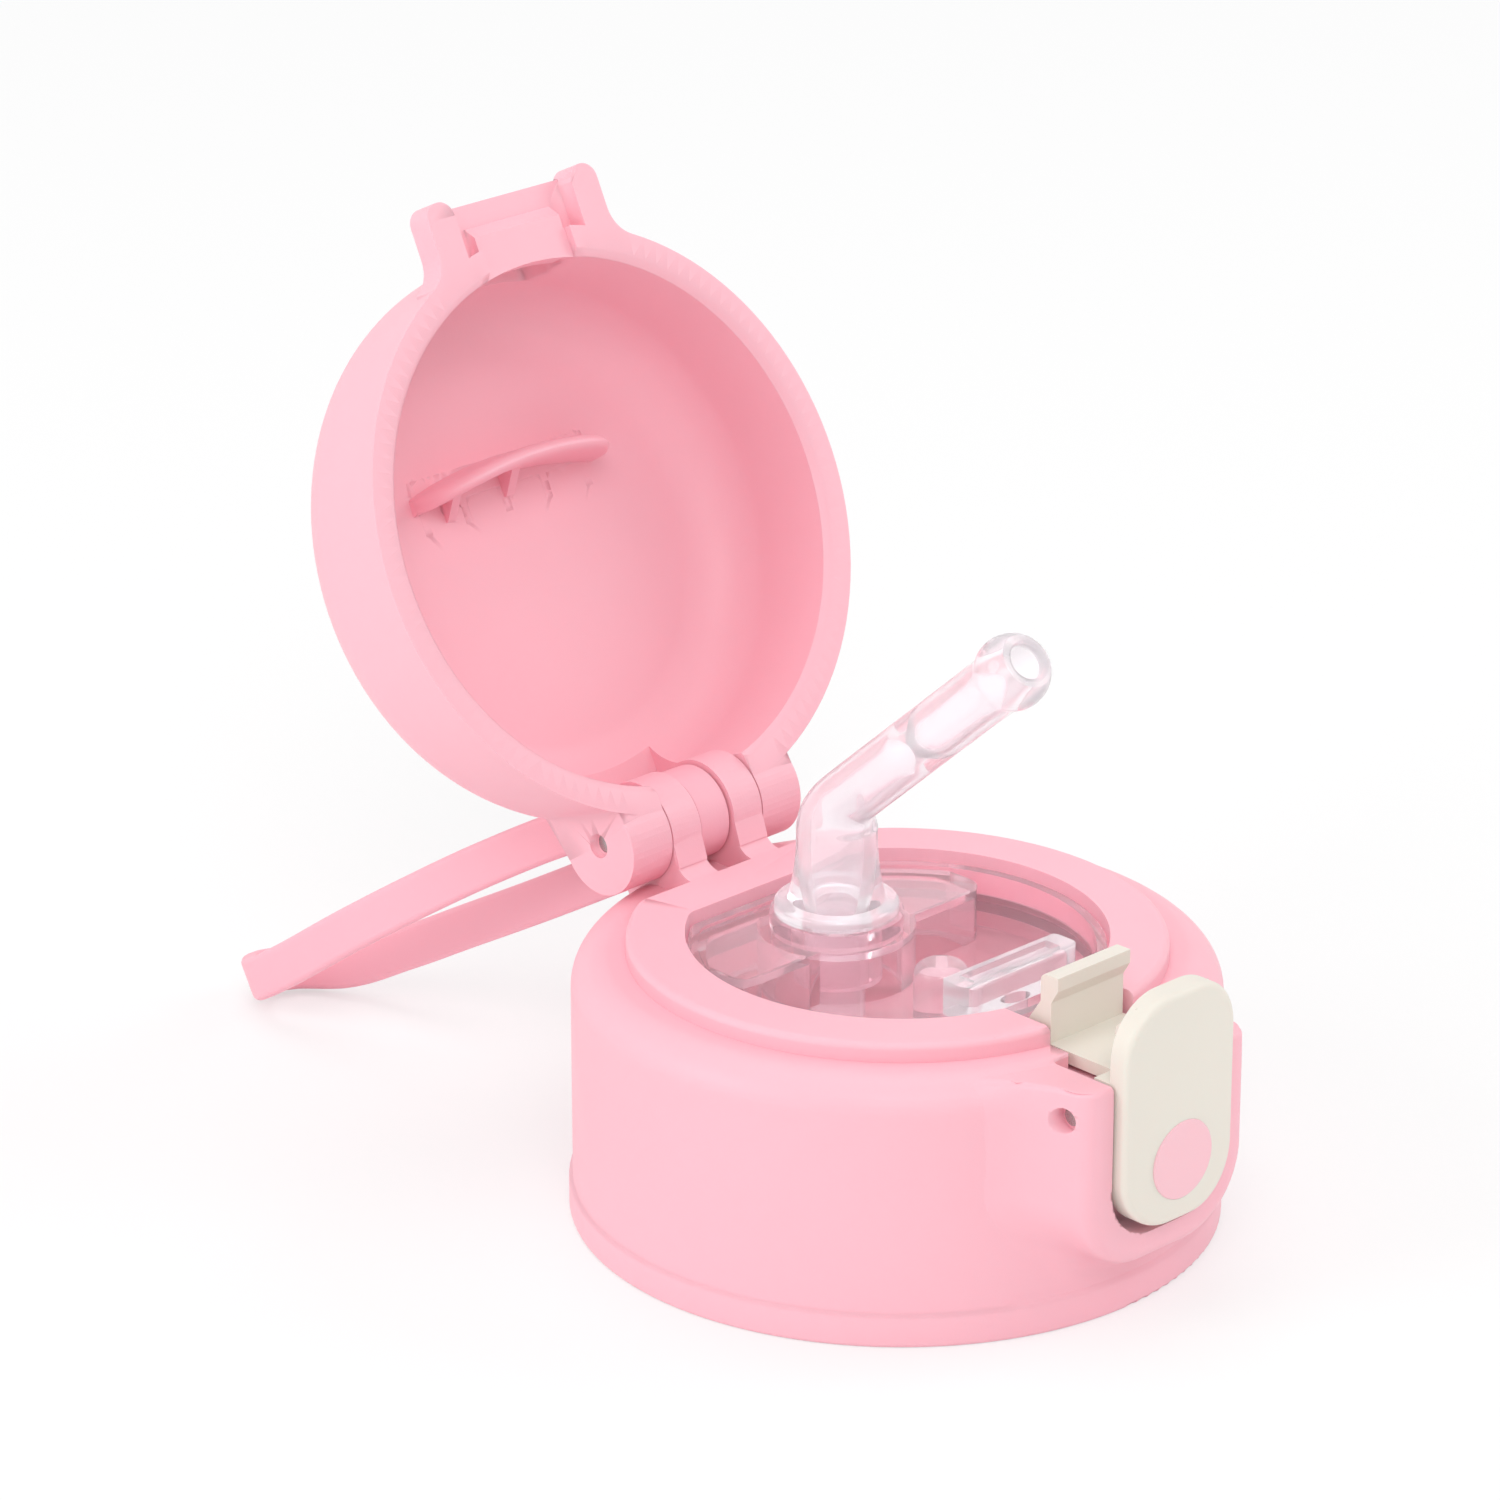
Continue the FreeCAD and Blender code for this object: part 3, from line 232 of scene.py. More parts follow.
def let_light_through(tree, shader, tint):
    """Lamps shine through the clear piece, so that what lies under it isn't dark."""
    output = next(node for node in tree.nodes if node.type == "OUTPUT_MATERIAL")
    rays = tree.nodes.new("ShaderNodeLightPath")
    clear = tree.nodes.new("ShaderNodeBsdfTransparent")
    clear.inputs["Color"].default_value = (*tint, 1.0)
    mix = tree.nodes.new("ShaderNodeMixShader")
    tree.links.new(rays.outputs["Is Shadow Ray"], mix.inputs["Fac"])
    tree.links.new(shader.outputs["BSDF"], mix.inputs[1])
    tree.links.new(clear.outputs["BSDF"], mix.inputs[2])
    tree.links.new(mix.outputs["Shader"], output.inputs["Surface"])


def clear_material(name, tint, roughness, ior, milk, wave_depth):
    """Clear moulded plastic or silicone: faint flow lines, and a little milkiness."""
    item, tree, shader = material(name)
    coordinates = place(tree)
    drift = noise(tree, coordinates, 0.012)
    tree.links.new(tinted(tree, between(tree, drift, 0.0, 1.0), shade(tint, 0.99), shade(tint, 1.01)),
                   shader.inputs["Base Color"])
    patches = noise(tree, coordinates, 0.004, detail=2.0)
    tree.links.new(between(tree, patches, roughness * 0.7, roughness * 1.3), shader.inputs["Roughness"])
    flow = noise(tree, coordinates, 0.0045, detail=1.5)
    relief(tree, shader, [(flow, wave_depth)])
    set_inputs(shader, Transmission_Weight=1.0 - milk, IOR=ior)
    let_light_through(tree, shader, tint)
    return item


def metal(name, base, roughness):
    """Drawn steel wire: fine lines along X and a slow change of polish."""
    item, tree, shader = material(name)
    coordinates = place(tree)
    stretch = tree.nodes.new("ShaderNodeMapping")
    stretch.inputs["Scale"].default_value = (0.05, 1.0, 1.0)
    tree.links.new(coordinates, stretch.inputs["Vector"])
    lines = noise(tree, stretch.outputs["Vector"], 0.00012, detail=2.0)
    tree.links.new(tinted(tree, lines, shade(base, 0.85), shade(base, 1.12)), shader.inputs["Base Color"])
    tree.links.new(between(tree, lines, roughness * 0.7, roughness * 1.4), shader.inputs["Roughness"])
    relief(tree, shader, [(lines, 0.000004)])
    set_inputs(shader, Metallic=1.0)
    return item


def paint(names, item):
    for name in names:
        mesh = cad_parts[name].data
        mesh.materials.clear()
        mesh.materials.append(item)


# Meshes
def soften(mesh, sharp_degrees):
    """Smooth shading, with crisp edges where the surface turns sharply."""
    mesh.polygons.foreach_set("use_smooth", [True] * len(mesh.polygons))
    mesh.set_sharp_from_angle(angle=math.radians(sharp_degrees))


def finished(name, mesh_or_bm, item, sharp_degrees=35.0):
    """A plain object at the origin from a mesh, with outward normals and crisp edges where it turns sharply."""
    mesh = bpy.data.meshes.new(name)
    mesh_or_bm.to_mesh(mesh)
    mesh_or_bm.free()
    soften(mesh, sharp_degrees)
    mesh.materials.append(item)
    piece = bpy.data.objects.new(name, mesh)
    bpy.context.scene.collection.objects.link(piece)
    return piece


def tube_rings(rings, sides):
    """A closed skin through rings of (centre, direction, radius) in millimetres; the last joins the first."""
    bm = bmesh.new()
    skins = []
    for centre, direction, radius in rings:
        out = Vector((1.0, 0.0, 0.0)).cross(direction).normalized()
        loop = []
        for index in range(sides):
            turn = 2.0 * math.pi * index / sides
            point = centre + (Vector((1.0, 0.0, 0.0)) * math.cos(turn) + out * math.sin(turn)) * radius
            loop.append(bm.verts.new(point * MM))
        skins.append(loop)
    for lower, upper in zip(skins, skins[1:] + skins[:1]):
        for index in range(sides):
            after = (index + 1) % sides
            bm.faces.new((lower[index], lower[after], upper[after], upper[index]))
    bmesh.ops.recalc_face_normals(bm, faces=bm.faces)
    return bm


def mouthpiece_path():
    """The middle line of the bent tube: straight up, round the bend, and along the arm."""
    foot = Vector((0.0, PORT_BACK, 32.9))
    bend = Vector((0.0, PORT_BACK, 43.6))
    tip = Vector((0.0, -16.2, 66.0))
    arm = (tip - bend).normalized()
    turn = math.acos(arm.dot(UP))
    radius = 5.5
    reach = radius * math.tan(turn / 2.0)
    centre = bend - UP * reach + Vector((0.0, -radius, 0.0))
    start = bend + arm * reach
    return foot, bend - UP * reach, centre, radius, turn, start, arm, tip


def smooth_step(value):
    value = max(0.0, min(1.0, value))
    return value * value * (3.0 - 2.0 * value)


def mouthpiece_rings(wall, pinch):
    foot, bend_start, centre, bend_radius, turn, start, arm, tip = mouthpiece_path()
    flare, body, slim, bulb = 5.3, 4.4, 3.35, 4.1
    stub, plug, flange, bore_low = 3.2, 3.5, 6.8, 2.525
    base = Vector((0.0, PORT_BACK, 31.4))

    def at(height, radius):
        return (Vector((0.0, PORT_BACK, height)), UP, radius)

    outer = [at(18.2, stub - 0.25), at(18.3, stub - 0.07), at(18.5, stub), at(23.9, stub), at(24.0, stub + 0.06),
             at(24.02, plug - 0.05), at(24.1, plug), at(base.z - 0.02, plug), at(base.z, plug + 0.05)]
    outer += [at(base.z, flange - 0.15), at(base.z + 0.05, flange - 0.03), at(base.z + 0.2, flange)]
    outer += [at(32.35, flange), at(32.55, flange - 0.05), at(32.72, flange - 0.17), at(32.83, flange - 0.35),
              at(32.9, flange - 0.6), at(32.92, flare + 0.25), at(33.0, flare + 0.06)]
    straight = bend_start.z - foot.z
    for step in range(1, 9):
        part = step / 8.0
        outer.append((foot + UP * straight * part, UP, body + (flare - body) * (1.0 - part) ** 2.2))
    count = 10
    for step in range(1, count + 1):
        angle = turn * step / count
        outward = Vector((0.0, math.cos(angle), math.sin(angle)))
        lean = Vector((0.0, -math.sin(angle), math.cos(angle)))
        outer.append((centre + outward * bend_radius, lean, body + (slim - body) * smooth_step(step / count)))
    run = (tip - start).length
    joined = math.sqrt(bulb ** 2 - slim ** 2)
    for step in range(1, 17):
        along = (run - joined) * step / 16.0
        near_bulb = smooth_step((along - (run - joined - 3.0)) / 3.0)
        outer.append((start + arm * along, arm, slim + 0.12 * near_bulb))
    low_angle = math.asin((slim + 0.12) / bulb)
    depth = 2.8
    high_angle = math.acos(depth / bulb)
    for step in range(1, 13):
        angle = math.pi - low_angle + (high_angle - (math.pi - low_angle)) * step / 12.0
        outer.append((tip + arm * bulb * math.cos(angle), arm, bulb * math.sin(angle)))
    face = tip + arm * depth
    mouth = 1.95
    bore = [(face, arm, mouth + 0.25), (face - arm * 0.08, arm, mouth + 0.06), (face - arm * 0.3, arm, mouth)]
    bore += [(face - arm * 3.0, arm, mouth - 0.02)]
    steps = 24
    for step in range(1, steps):
        along = run * (1.0 - step / steps)
        narrowed = math.exp(-((along - run * 0.44) / 1.3) ** 2) * pinch
        bore.append((start + arm * along, arm, (slim - wall) * (1.0 - narrowed)))
    for step in range(count, -1, -1):
        angle = turn * step / count
        outward = Vector((0.0, math.cos(angle), math.sin(angle)))
        lean = Vector((0.0, -math.sin(angle), math.cos(angle)))
        size = body - wall + (slim - body) * smooth_step(step / count)
        bore.append((centre + outward * bend_radius, lean, size))
    bore += [at(37.0, body - wall), at(34.0, body - wall - 0.1), at(31.4, bore_low), at(18.4, bore_low),
             at(18.25, bore_low + 0.1)]
    return outer + bore


# The loop's middle line in millimetres: off the hinge barrel on the left, round the tip, and back on the right
LOOP_ROUTE = (
    (-1.0, 36.6, 34.9), (-1.05, 39.9, 33.6), (-4.2, 46.0, 31.0), (-9.6, 55.0, 25.7), (-13.2, 63.0, 20.3),
    (-16.2, 71.6, 14.2), (-18.2, 80.3, 7.8), (-17.7, 86.0, 4.2), (-14.6, 89.2, 2.95), (-10.6, 87.8, 2.8),
    (-7.4, 82.9, 3.5), (-4.7, 74.5, 7.7), (-2.9, 65.9, 12.6), (-1.3, 57.1, 17.6), (0.3, 48.6, 22.6),
    (1.05, 41.4, 27.0), (1.05, 37.6, 29.7), (1.0, 35.1, 31.3),
)
LOOP_LEAN = 29.6


def smooth_route(points, steps):
    """Places and directions along a smooth line through points."""
    points = [Vector(point) for point in points]
    gaps = [(after - before).length for before, after in zip(points, points[1:])]
    ways = [(after - before) / gap for before, after, gap in zip(points, points[1:], gaps)]
    slopes = [ways[0]]
    for index in range(1, len(points) - 1):
        before, after = gaps[index - 1], gaps[index]
        slopes.append((ways[index - 1] * after + ways[index] * before) / (before + after))
    slopes.append(ways[-1])
    route = []
    for index, gap in enumerate(gaps):
        first, last = points[index] , points[index] + slopes[index] * gap / 3.0
        fourth = points[index + 1]
        third = fourth - slopes[index + 1] * gap / 3.0
        for step in range(steps if index < len(gaps) - 1 else steps + 1):
            part = step / steps
            rest = 1.0 - part
            place_here = (first * rest ** 3 + last * 3.0 * part * rest ** 2
                          + third * 3.0 * part ** 2 * rest + fourth * part ** 3)
            way = (last - first) * rest ** 2 + (third - last) * 2.0 * part * rest + (fourth - third) * part ** 2
            route.append((place_here, way.normalized()))
    return route


def rounded_rectangle(half_width, half_height, radius, steps=4):
    corners = []
    for quarter, (a, b) in enumerate(((1, 1), (-1, 1), (-1, -1), (1, -1))):
        for step in range(steps + 1):
            turn = math.radians(90.0 * (quarter + step / steps))
            corners.append((a * (half_width - radius) + math.cos(turn) * radius,
                            b * (half_height - radius) + math.sin(turn) * radius))
    return corners


def swept_band(route, section, upright):
    """A closed band whose section keeps one side as near upright as the route allows."""
    bm = bmesh.new()
    skins = []
    for here, way in route:
        up = (upright - way * upright.dot(way)).normalized()
        side = way.cross(up)
        skins.append([bm.verts.new((here + side * a + up * b) * MM) for a, b in section])
    count = len(section)
    for lower, upper in zip(skins, skins[1:]):
        for index in range(count):
            after = (index + 1) % count
            bm.faces.new((lower[index], lower[after], upper[after], upper[index]))
    bm.faces.new(list(reversed(skins[0])))
    bm.faces.new(skins[-1])
    bmesh.ops.recalc_face_normals(bm, faces=bm.faces)
    return bm


def lathe_x(profile, centre, sides):
    """A closed ring about a line along X through centre: profile holds (x, radius) and the last joins the first."""
    bm = bmesh.new()
    skins = []
    for across, radius in profile:
        loop = []
        for index in range(sides):
            turn = 2.0 * math.pi * index / sides
            around = Vector((across, math.cos(turn) * radius, math.sin(turn) * radius))
            loop.append(bm.verts.new((centre + around) * MM))
        skins.append(loop)
    for lower, upper in zip(skins, skins[1:] + skins[:1]):
        for index in range(sides):
            after = (index + 1) % sides
            bm.faces.new((lower[index], lower[after], upper[after], upper[index]))
    bmesh.ops.recalc_face_normals(bm, faces=bm.faces)
    return bm


def applied(piece, modifier):
    """Puts the modifier's result in place of the piece's mesh."""
    bpy.context.view_layer.update()
    mesh = bpy.data.meshes.new_from_object(piece.evaluated_get(bpy.context.evaluated_depsgraph_get()))
    piece.modifiers.remove(modifier)
    if not mesh.polygons:
        raise RuntimeError(f"{piece.name}: nothing was left after a cut")
    old = piece.data
    piece.data = mesh
    bpy.data.meshes.remove(old)


def combined(name, base, tools, item):
    """One closed piece: base with each (bm, operation) of tools joined on or cut away."""
    piece = finished(name, base, item)
    for index, (tool, operation) in enumerate(tools):
        helper = finished(f"{name}_tool_{index}", tool, item)
        modifier = piece.modifiers.new("combine", "BOOLEAN")
        modifier.operation = operation
        modifier.solver = "MANIFOLD"
        modifier.object = helper
        applied(piece, modifier)
        bpy.data.objects.remove(helper)
    soften(piece.data, 24.0)
    even = piece.modifiers.new("even", "WEIGHTED_NORMAL")
    even.keep_sharp = True
    even.weight = 80
    applied(piece, even)
    return piece


# The pad round the latch, in millimetres: a rounded block that grows out of the turned cap
SKIRT, SHOULDER_TOP, SHOULDER_ROUND, PLATEAU_TOP = 35.0, 29.7, 4.0, 31.8
PAD_TOP, PAD_LOW = 29.32, 3.93
OLD_SPREAD = 25.6
POCKET_HALF, POCKET_BACK, POCKET_LOW, POCKET_CORNER = 8.6, 35.0, 11.0, 6.5
SLOT_LOW, SLOT_STEP = 27.4, 31.0
LATCH_PIN = Vector((0.0, -36.5, 26.0))


def beyond_edge(a, b, radius):
    """Distance from a block with a rounded edge, from the distances to its two faces."""
    inside = min(max(a + radius, b + radius), 0.0)
    return inside + math.hypot(max(a + radius, 0.0), max(b + radius, 0.0)) - radius


def blended(a, b, radius):
    """Distance from two bodies joined with a hollow rounding."""
    return max(radius, min(a, b)) - math.hypot(max(radius - a, 0.0), max(radius - b, 0.0))


def turned_radius(height):
    """Radius of the cap's outside, with its rounded shoulder."""
    above = height - (SHOULDER_TOP - SHOULDER_ROUND)
    if above <= 0.0:
        return SKIRT
    return SKIRT - SHOULDER_ROUND + math.sqrt(max(0.0, SHOULDER_ROUND ** 2 - above ** 2))


def pad_distance(point, pad):
    across = beyond_edge(abs(point.x) - pad.half, pad.bottom - point.z, pad.corner)
    block = beyond_edge(across, -pad.front - point.y, pad.edge)
    turned = beyond_edge(math.hypot(point.x, point.y) - SKIRT, point.z - SHOULDER_TOP, SHOULDER_ROUND)
    hollow = pad.low_cove + (pad.cove - pad.low_cove) * smooth_step((point.z - pad.bottom - 1.0) / 8.0)
    return beyond_edge(blended(block, turned, hollow), point.z - PAD_TOP, 0.6)


def pad_radius(turn, height, pad):
    """How far from the cap's axis the pad's outside lies, in one direction."""
    low, high = turned_radius(height) - 2.0, 46.0
    for _ in range(24):
        middle = (low + high) / 2.0
        point = Vector((math.sin(turn) * middle, -math.cos(turn) * middle, height))
        if pad_distance(point, pad) > 0.0:
            high = middle
        else:
            low = middle
    proud = low - turned_radius(height)
    beside = smooth_step((abs(math.degrees(turn)) - OLD_SPREAD) / 6.0)
    below = smooth_step((PAD_LOW + 0.42 - height) / 0.42)
    return low + (0.015 - 0.12 * beside - 0.04 * below) * (1.0 - smooth_step(proud / 0.3))


def front_shell(inner, outer, spread, low, high, columns, rows):
    """A closed shell at the front of the cap between two radii, each a function of direction and height."""
    bm = bmesh.new()
    grids = []
    for reach in (inner, outer):
        grid = []
        for row in range(rows + 1):
            height = low + (high - low) * math.sin(math.pi / 2.0 * row / rows)
            line = []
            for column in range(columns + 1):
                turn = math.radians(spread) * (2.0 * column / columns - 1.0)
                radius = reach(turn, height)
                line.append(bm.verts.new(Vector((math.sin(turn) * radius, -math.cos(turn) * radius, height)) * MM))
            grid.append(line)
        grids.append(grid)
    for grid in grids:
        for lower, upper in zip(grid, grid[1:]):
            for column in range(columns):
                bm.faces.new((lower[column], lower[column + 1], upper[column + 1], upper[column]))
    near, far = grids
    for row in (0, rows):
        for column in range(columns):
            bm.faces.new((near[row][column], near[row][column + 1], far[row][column + 1], far[row][column]))
    for column in (0, columns):
        for row in range(rows):
            bm.faces.new((near[row][column], near[row + 1][column], far[row + 1][column], far[row][column]))
    bmesh.ops.recalc_face_normals(bm, faces=bm.faces)
    return bm


def pad_block(pad):
    """The pad, from inside the cap's wall out to its own outside."""
    return front_shell(lambda turn, height: turned_radius(height) - 1.1,
                       lambda turn, height: pad_radius(turn, height, pad), 38.0, PAD_LOW, PAD_TOP, 132, 96)


def old_housing_tool():
    """What the solids have outside the turned cap at the front, with a little of the wall under it."""
    return front_shell(lambda turn, height: turned_radius(height) - 0.35, lambda turn, height: 47.0,
                       OLD_SPREAD, PAD_LOW + 0.42, PAD_TOP - 0.07, 64, 24)


def prism(outline, axis, low, high):
    """A closed block from an outline of (a, b) in millimetres, drawn out along x or y from low to high."""
    bm = bmesh.new()
    ends = []
    for along in (low, high):
        ends.append([bm.verts.new(Vector((along, a, b) if axis == "x" else (a, along, b)) * MM) for a, b in outline])
    for index in range(len(outline)):
        after = (index + 1) % len(outline)
        bm.faces.new((ends[0][index], ends[0][after], ends[1][after], ends[1][index]))
    bm.faces.new(ends[0])
    bm.faces.new(ends[1])
    bmesh.ops.recalc_face_normals(bm, faces=bm.faces)
    return bm


def arc(centre, radius, first, last, steps):
    """Points of an arc, with its angles in degrees."""
    points = []
    for step in range(steps + 1):
        turn = math.radians(first + (last - first) * step / steps)
        points.append((centre[0] + math.cos(turn) * radius, centre[1] + math.sin(turn) * radius))
    return points


def pocket_tool():
    """The pocket that the latch lies in, with round lower corners."""
    corner = POCKET_CORNER
    outline = arc((corner - POCKET_HALF, POCKET_LOW + corner), corner, 180.0, 270.0, 12)
    outline += arc((POCKET_HALF - corner, POCKET_LOW + corner), corner, 270.0, 360.0, 12)
    outline += [(POCKET_HALF, PLATEAU_TOP + 1.0), (-POCKET_HALF, PLATEAU_TOP + 1.0)]
    return prism(outline, "y", -44.0, -POCKET_BACK)


def slot_tool():
    """The slot through the plateau's front that the latch's floor passes."""
    outline = [(-44.0, SLOT_LOW), (-SLOT_STEP, SLOT_LOW), (-SLOT_STEP, PLATEAU_TOP + 1.0),
               (-44.0, PLATEAU_TOP + 1.0)]
    return prism(outline, "x", -POCKET_HALF, POCKET_HALF)


def round_bar(centre, radius, low, high, sides=48):
    return prism(arc((centre.y, centre.z), radius, 0.0, 360.0 - 360.0 / sides, sides - 1), "x", low, high)


def ear_foot(pad, low, high):
    """Fills the corner between the plateau and a hinge ear with a hollow rounding."""
    front = HINGE.y - 5.6
    centre = (front - pad.foot_round, PLATEAU_TOP + pad.foot_round)
    outline = arc(centre, pad.foot_round, 270.0, 360.0, 10)
    outline += [(front + 0.3, HINGE.z), (front + 2.5, HINGE.z), (front + 2.5, SHOULDER_TOP - 1.0),
                (centre[0], SHOULDER_TOP - 1.0)]
    return prism(outline, "x", low, high)


# The plate inside the lid that pinches the straw, in millimetres with the lid shut
LID_ANGLE = 116.5
LID_INSIDE_TOP, LID_CROWN = 47.45, 597.6
OLD_PLATE_FRONT, OLD_PLATE_BACK, OLD_PLATE_HALF, PLATE_LOW = -11.2, -4.3, 13.6, 38.6


def lid_inside(x, y):
    """Height of the inside of the shut lid's flat crown."""
    return LID_INSIDE_TOP - (x * x + y * y) / (2.0 * LID_CROWN)


def columns_block(columns):
    """A closed block from rings of points, each ring on its own plane, with flat ends."""
    bm = bmesh.new()
    skins = [[bm.verts.new(Vector(point) * MM) for point in ring] for ring in columns]
    count = len(skins[0])
    for lower, upper in zip(skins, skins[1:]):
        for index in range(count):
            after = (index + 1) % count
            bm.faces.new((lower[index], lower[after], upper[after], upper[index]))
    bm.faces.new(skins[0])
    bm.faces.new(skins[-1])
    bmesh.ops.recalc_face_normals(bm, faces=bm.faces)
    return bm


def old_plate_tool():
    """The space inside the lid that the plain plate and its gussets take."""
    columns = []
    for step in range(25):
        x = OLD_PLATE_HALF * (step / 12.0 - 1.0)
        ring = [(x, OLD_PLATE_FRONT, PLATE_LOW), (x, OLD_PLATE_BACK, PLATE_LOW)]
        for across in range(7):
            y = OLD_PLATE_BACK + (OLD_PLATE_FRONT - OLD_PLATE_BACK) * across / 6.0
            ring.append((x, y, lid_inside(x, y) - 0.012))
        columns.append(ring)
    return columns_block(columns)


def curved_plate(plate):
    """A plate that bows towards the front, with round lower corners and a round free edge."""
    columns, rows = 44, 12
    rings = []
    for column in range(columns + 1):
        x = plate.half * (2.0 * column / columns - 1.0)
        past = max(0.0, abs(x) - plate.half + plate.corner)
        low = plate.edge + plate.corner - math.sqrt(max(0.0, plate.corner ** 2 - past ** 2))
        middle = plate.back - plate.bow * (1.0 - (x / plate.half) ** 2)
        high = LID_INSIDE_TOP + 0.6
        front, rear = [], []
        for row in range(rows + 1):
            down = math.sin(math.pi / 2.0 * row / rows)
            height = high + (low - high) * down
            near_edge = max(0.0, 1.0 - (height - low) / plate.thick)
            half_thick = plate.thick * (0.62 - 0.12 * down) * math.sqrt(max(0.02, 1.0 - near_edge ** 2))
            front.append((x, middle - half_thick, height))
            rear.append((x, middle + half_thick, height))
        rings.append(front + list(reversed(rear)))
    return columns_block(rings)


def plate_gusset(plate, x):
    middle = plate.back - plate.bow * (1.0 - (x / plate.half) ** 2)
    outline = [(middle, LID_INSIDE_TOP - plate.gusset_height), (middle, LID_INSIDE_TOP + 0.6),
               (middle + plate.gusset_reach, LID_INSIDE_TOP + 0.6),
               (middle + plate.gusset_reach, LID_INSIDE_TOP - 0.4)]
    return prism(outline, "x", x - 0.6, x + 0.6)


def opened(bm):
    """Turns a shape made for the shut lid to the open lid."""
    hinge = Matrix.Translation(HINGE * MM)
    turn = Matrix.Rotation(math.radians(-LID_ANGLE), 4, "X")
    bm.transform(hinge @ turn @ hinge.inverted())
    return bm


# Geometry Nodes: a profile swept along a spiral
def coil_tree(name, trapezoid):
    """A spiral with a trapezoid ridge (thread) or a round wire (spring) swept along it."""
    tree = bpy.data.node_groups.new(name, "GeometryNodeTree")
    sockets = tree.interface
    sockets.new_socket("Geometry", in_out="OUTPUT", socket_type="NodeSocketGeometry")
    for label in ("Turns", "Radius", "Height", "Width", "Top width", "Depth"):
        sockets.new_socket(label, in_out="INPUT", socket_type="NodeSocketFloat")
    sockets.new_socket("Steps", in_out="INPUT", socket_type="NodeSocketInt")
    sockets.new_socket("Material", in_out="INPUT", socket_type="NodeSocketMaterial")
    given = tree.nodes.new("NodeGroupInput")
    result = tree.nodes.new("NodeGroupOutput")
    spiral = tree.nodes.new("GeometryNodeCurveSpiral")
    for label, socket in (("Steps", "Resolution"), ("Turns", "Rotations"), ("Radius", "Start Radius"),
                          ("Radius", "End Radius"), ("Height", "Height")):
        tree.links.new(given.outputs[label], spiral.inputs[socket])
    normal = tree.nodes.new("GeometryNodeSetCurveNormal")
    normal.mode = "Z_UP"
    tree.links.new(spiral.outputs["Curve"], normal.inputs["Curve"])
    if trapezoid:
        profile = tree.nodes.new("GeometryNodeCurvePrimitiveQuadrilateral")
        profile.mode = "TRAPEZOID"
        profile.inputs["Offset"].default_value = 0.0
        tree.links.new(given.outputs["Width"], profile.inputs["Bottom Width"])
        tree.links.new(given.outputs["Top width"], profile.inputs["Top Width"])
        tree.links.new(given.outputs["Depth"], profile.inputs["Height"])
        turned = tree.nodes.new("GeometryNodeTransform")
        turned.inputs["Rotation"].default_value = (0.0, 0.0, math.radians(90.0))
        tree.links.new(profile.outputs["Curve"], turned.inputs["Geometry"])
        shape = turned.outputs["Geometry"]
    else:
        profile = tree.nodes.new("GeometryNodeCurvePrimitiveCircle")
        profile.inputs["Resolution"].default_value = 14
        tree.links.new(given.outputs["Width"], profile.inputs["Radius"])
        shape = profile.outputs["Curve"]
    sweep = tree.nodes.new("GeometryNodeCurveToMesh")
    sweep.inputs["Fill Caps"].default_value = True
    tree.links.new(normal.outputs["Curve"], sweep.inputs["Curve"])
    tree.links.new(shape, sweep.inputs["Profile Curve"])
    realized = tree.nodes.new("GeometryNodeRealizeInstances")
    tree.links.new(sweep.outputs["Mesh"], realized.inputs["Geometry"])
    painted = tree.nodes.new("GeometryNodeSetMaterial")
    tree.links.new(realized.outputs["Geometry"], painted.inputs["Geometry"])
    tree.links.new(given.outputs["Material"], painted.inputs["Material"])
    tree.links.new(painted.outputs["Geometry"], result.inputs["Geometry"])
    return tree


def grown(name, tree, values, move):
    """The mesh that a tree of nodes makes, as a plain object at the origin."""
    carrier = bpy.data.objects.new(name + "_carrier", bpy.data.meshes.new(name + "_carrier"))
    bpy.context.scene.collection.objects.link(carrier)
    modifier = carrier.modifiers.new("grow", "NODES")
    modifier.node_group = tree
    for socket in tree.interface.items_tree:
        if socket.in_out == "INPUT" and socket.name in values:
            modifier[socket.identifier] = values[socket.name]
    bpy.context.view_layer.update()
    evaluated = carrier.evaluated_get(bpy.context.evaluated_depsgraph_get())
    mesh = bpy.data.meshes.new_from_object(evaluated)
    carrier.modifiers.remove(modifier)
    bpy.data.objects.remove(carrier)
    mesh.transform(move)
    bm = bmesh.new()
    bm.from_mesh(mesh)
    bmesh.ops.remove_doubles(bm, verts=bm.verts, dist=1e-7)
    bmesh.ops.recalc_face_normals(bm, faces=bm.faces)
    return finished(name, bm, values["Material"])


def in_millimetres(group):
    """The lengths of a group of sizes, as plain numbers of millimetres."""
    keys = [key for key in group.bl_rna.properties.keys() if key not in ("rna_type", "name")]
    return SimpleNamespace(**{key: getattr(group, key) / MM for key in keys})


# Operators, one for each piece or group of like pieces
class BottleCapOperator(bpy.types.Operator):
    """Base of the operators of the bottle cap."""
    bl_options = {"REGISTER", "UNDO"}

    @property
    def looks(self):
        return bpy.context.scene.cap_finishes


class CAP_OT_pink(BottleCapOperator):
    """Makes the matte pink plastic that the cap and the lid get, and gives the dot its own pink plastic"""
    bl_idname = "bottle_cap.pink_pieces"
    bl_label = "Pink pieces"

    def execute(self, context):
        looks = self.looks
        moulded_plastic("Matte pink plastic", looks.pink, looks.matte, looks.grain)
        paint(["latch_dot"], moulded_plastic("Pink dot plastic", looks.dot_pink, looks.matte - 0.04, looks.grain))
        return {"FINISHED"}


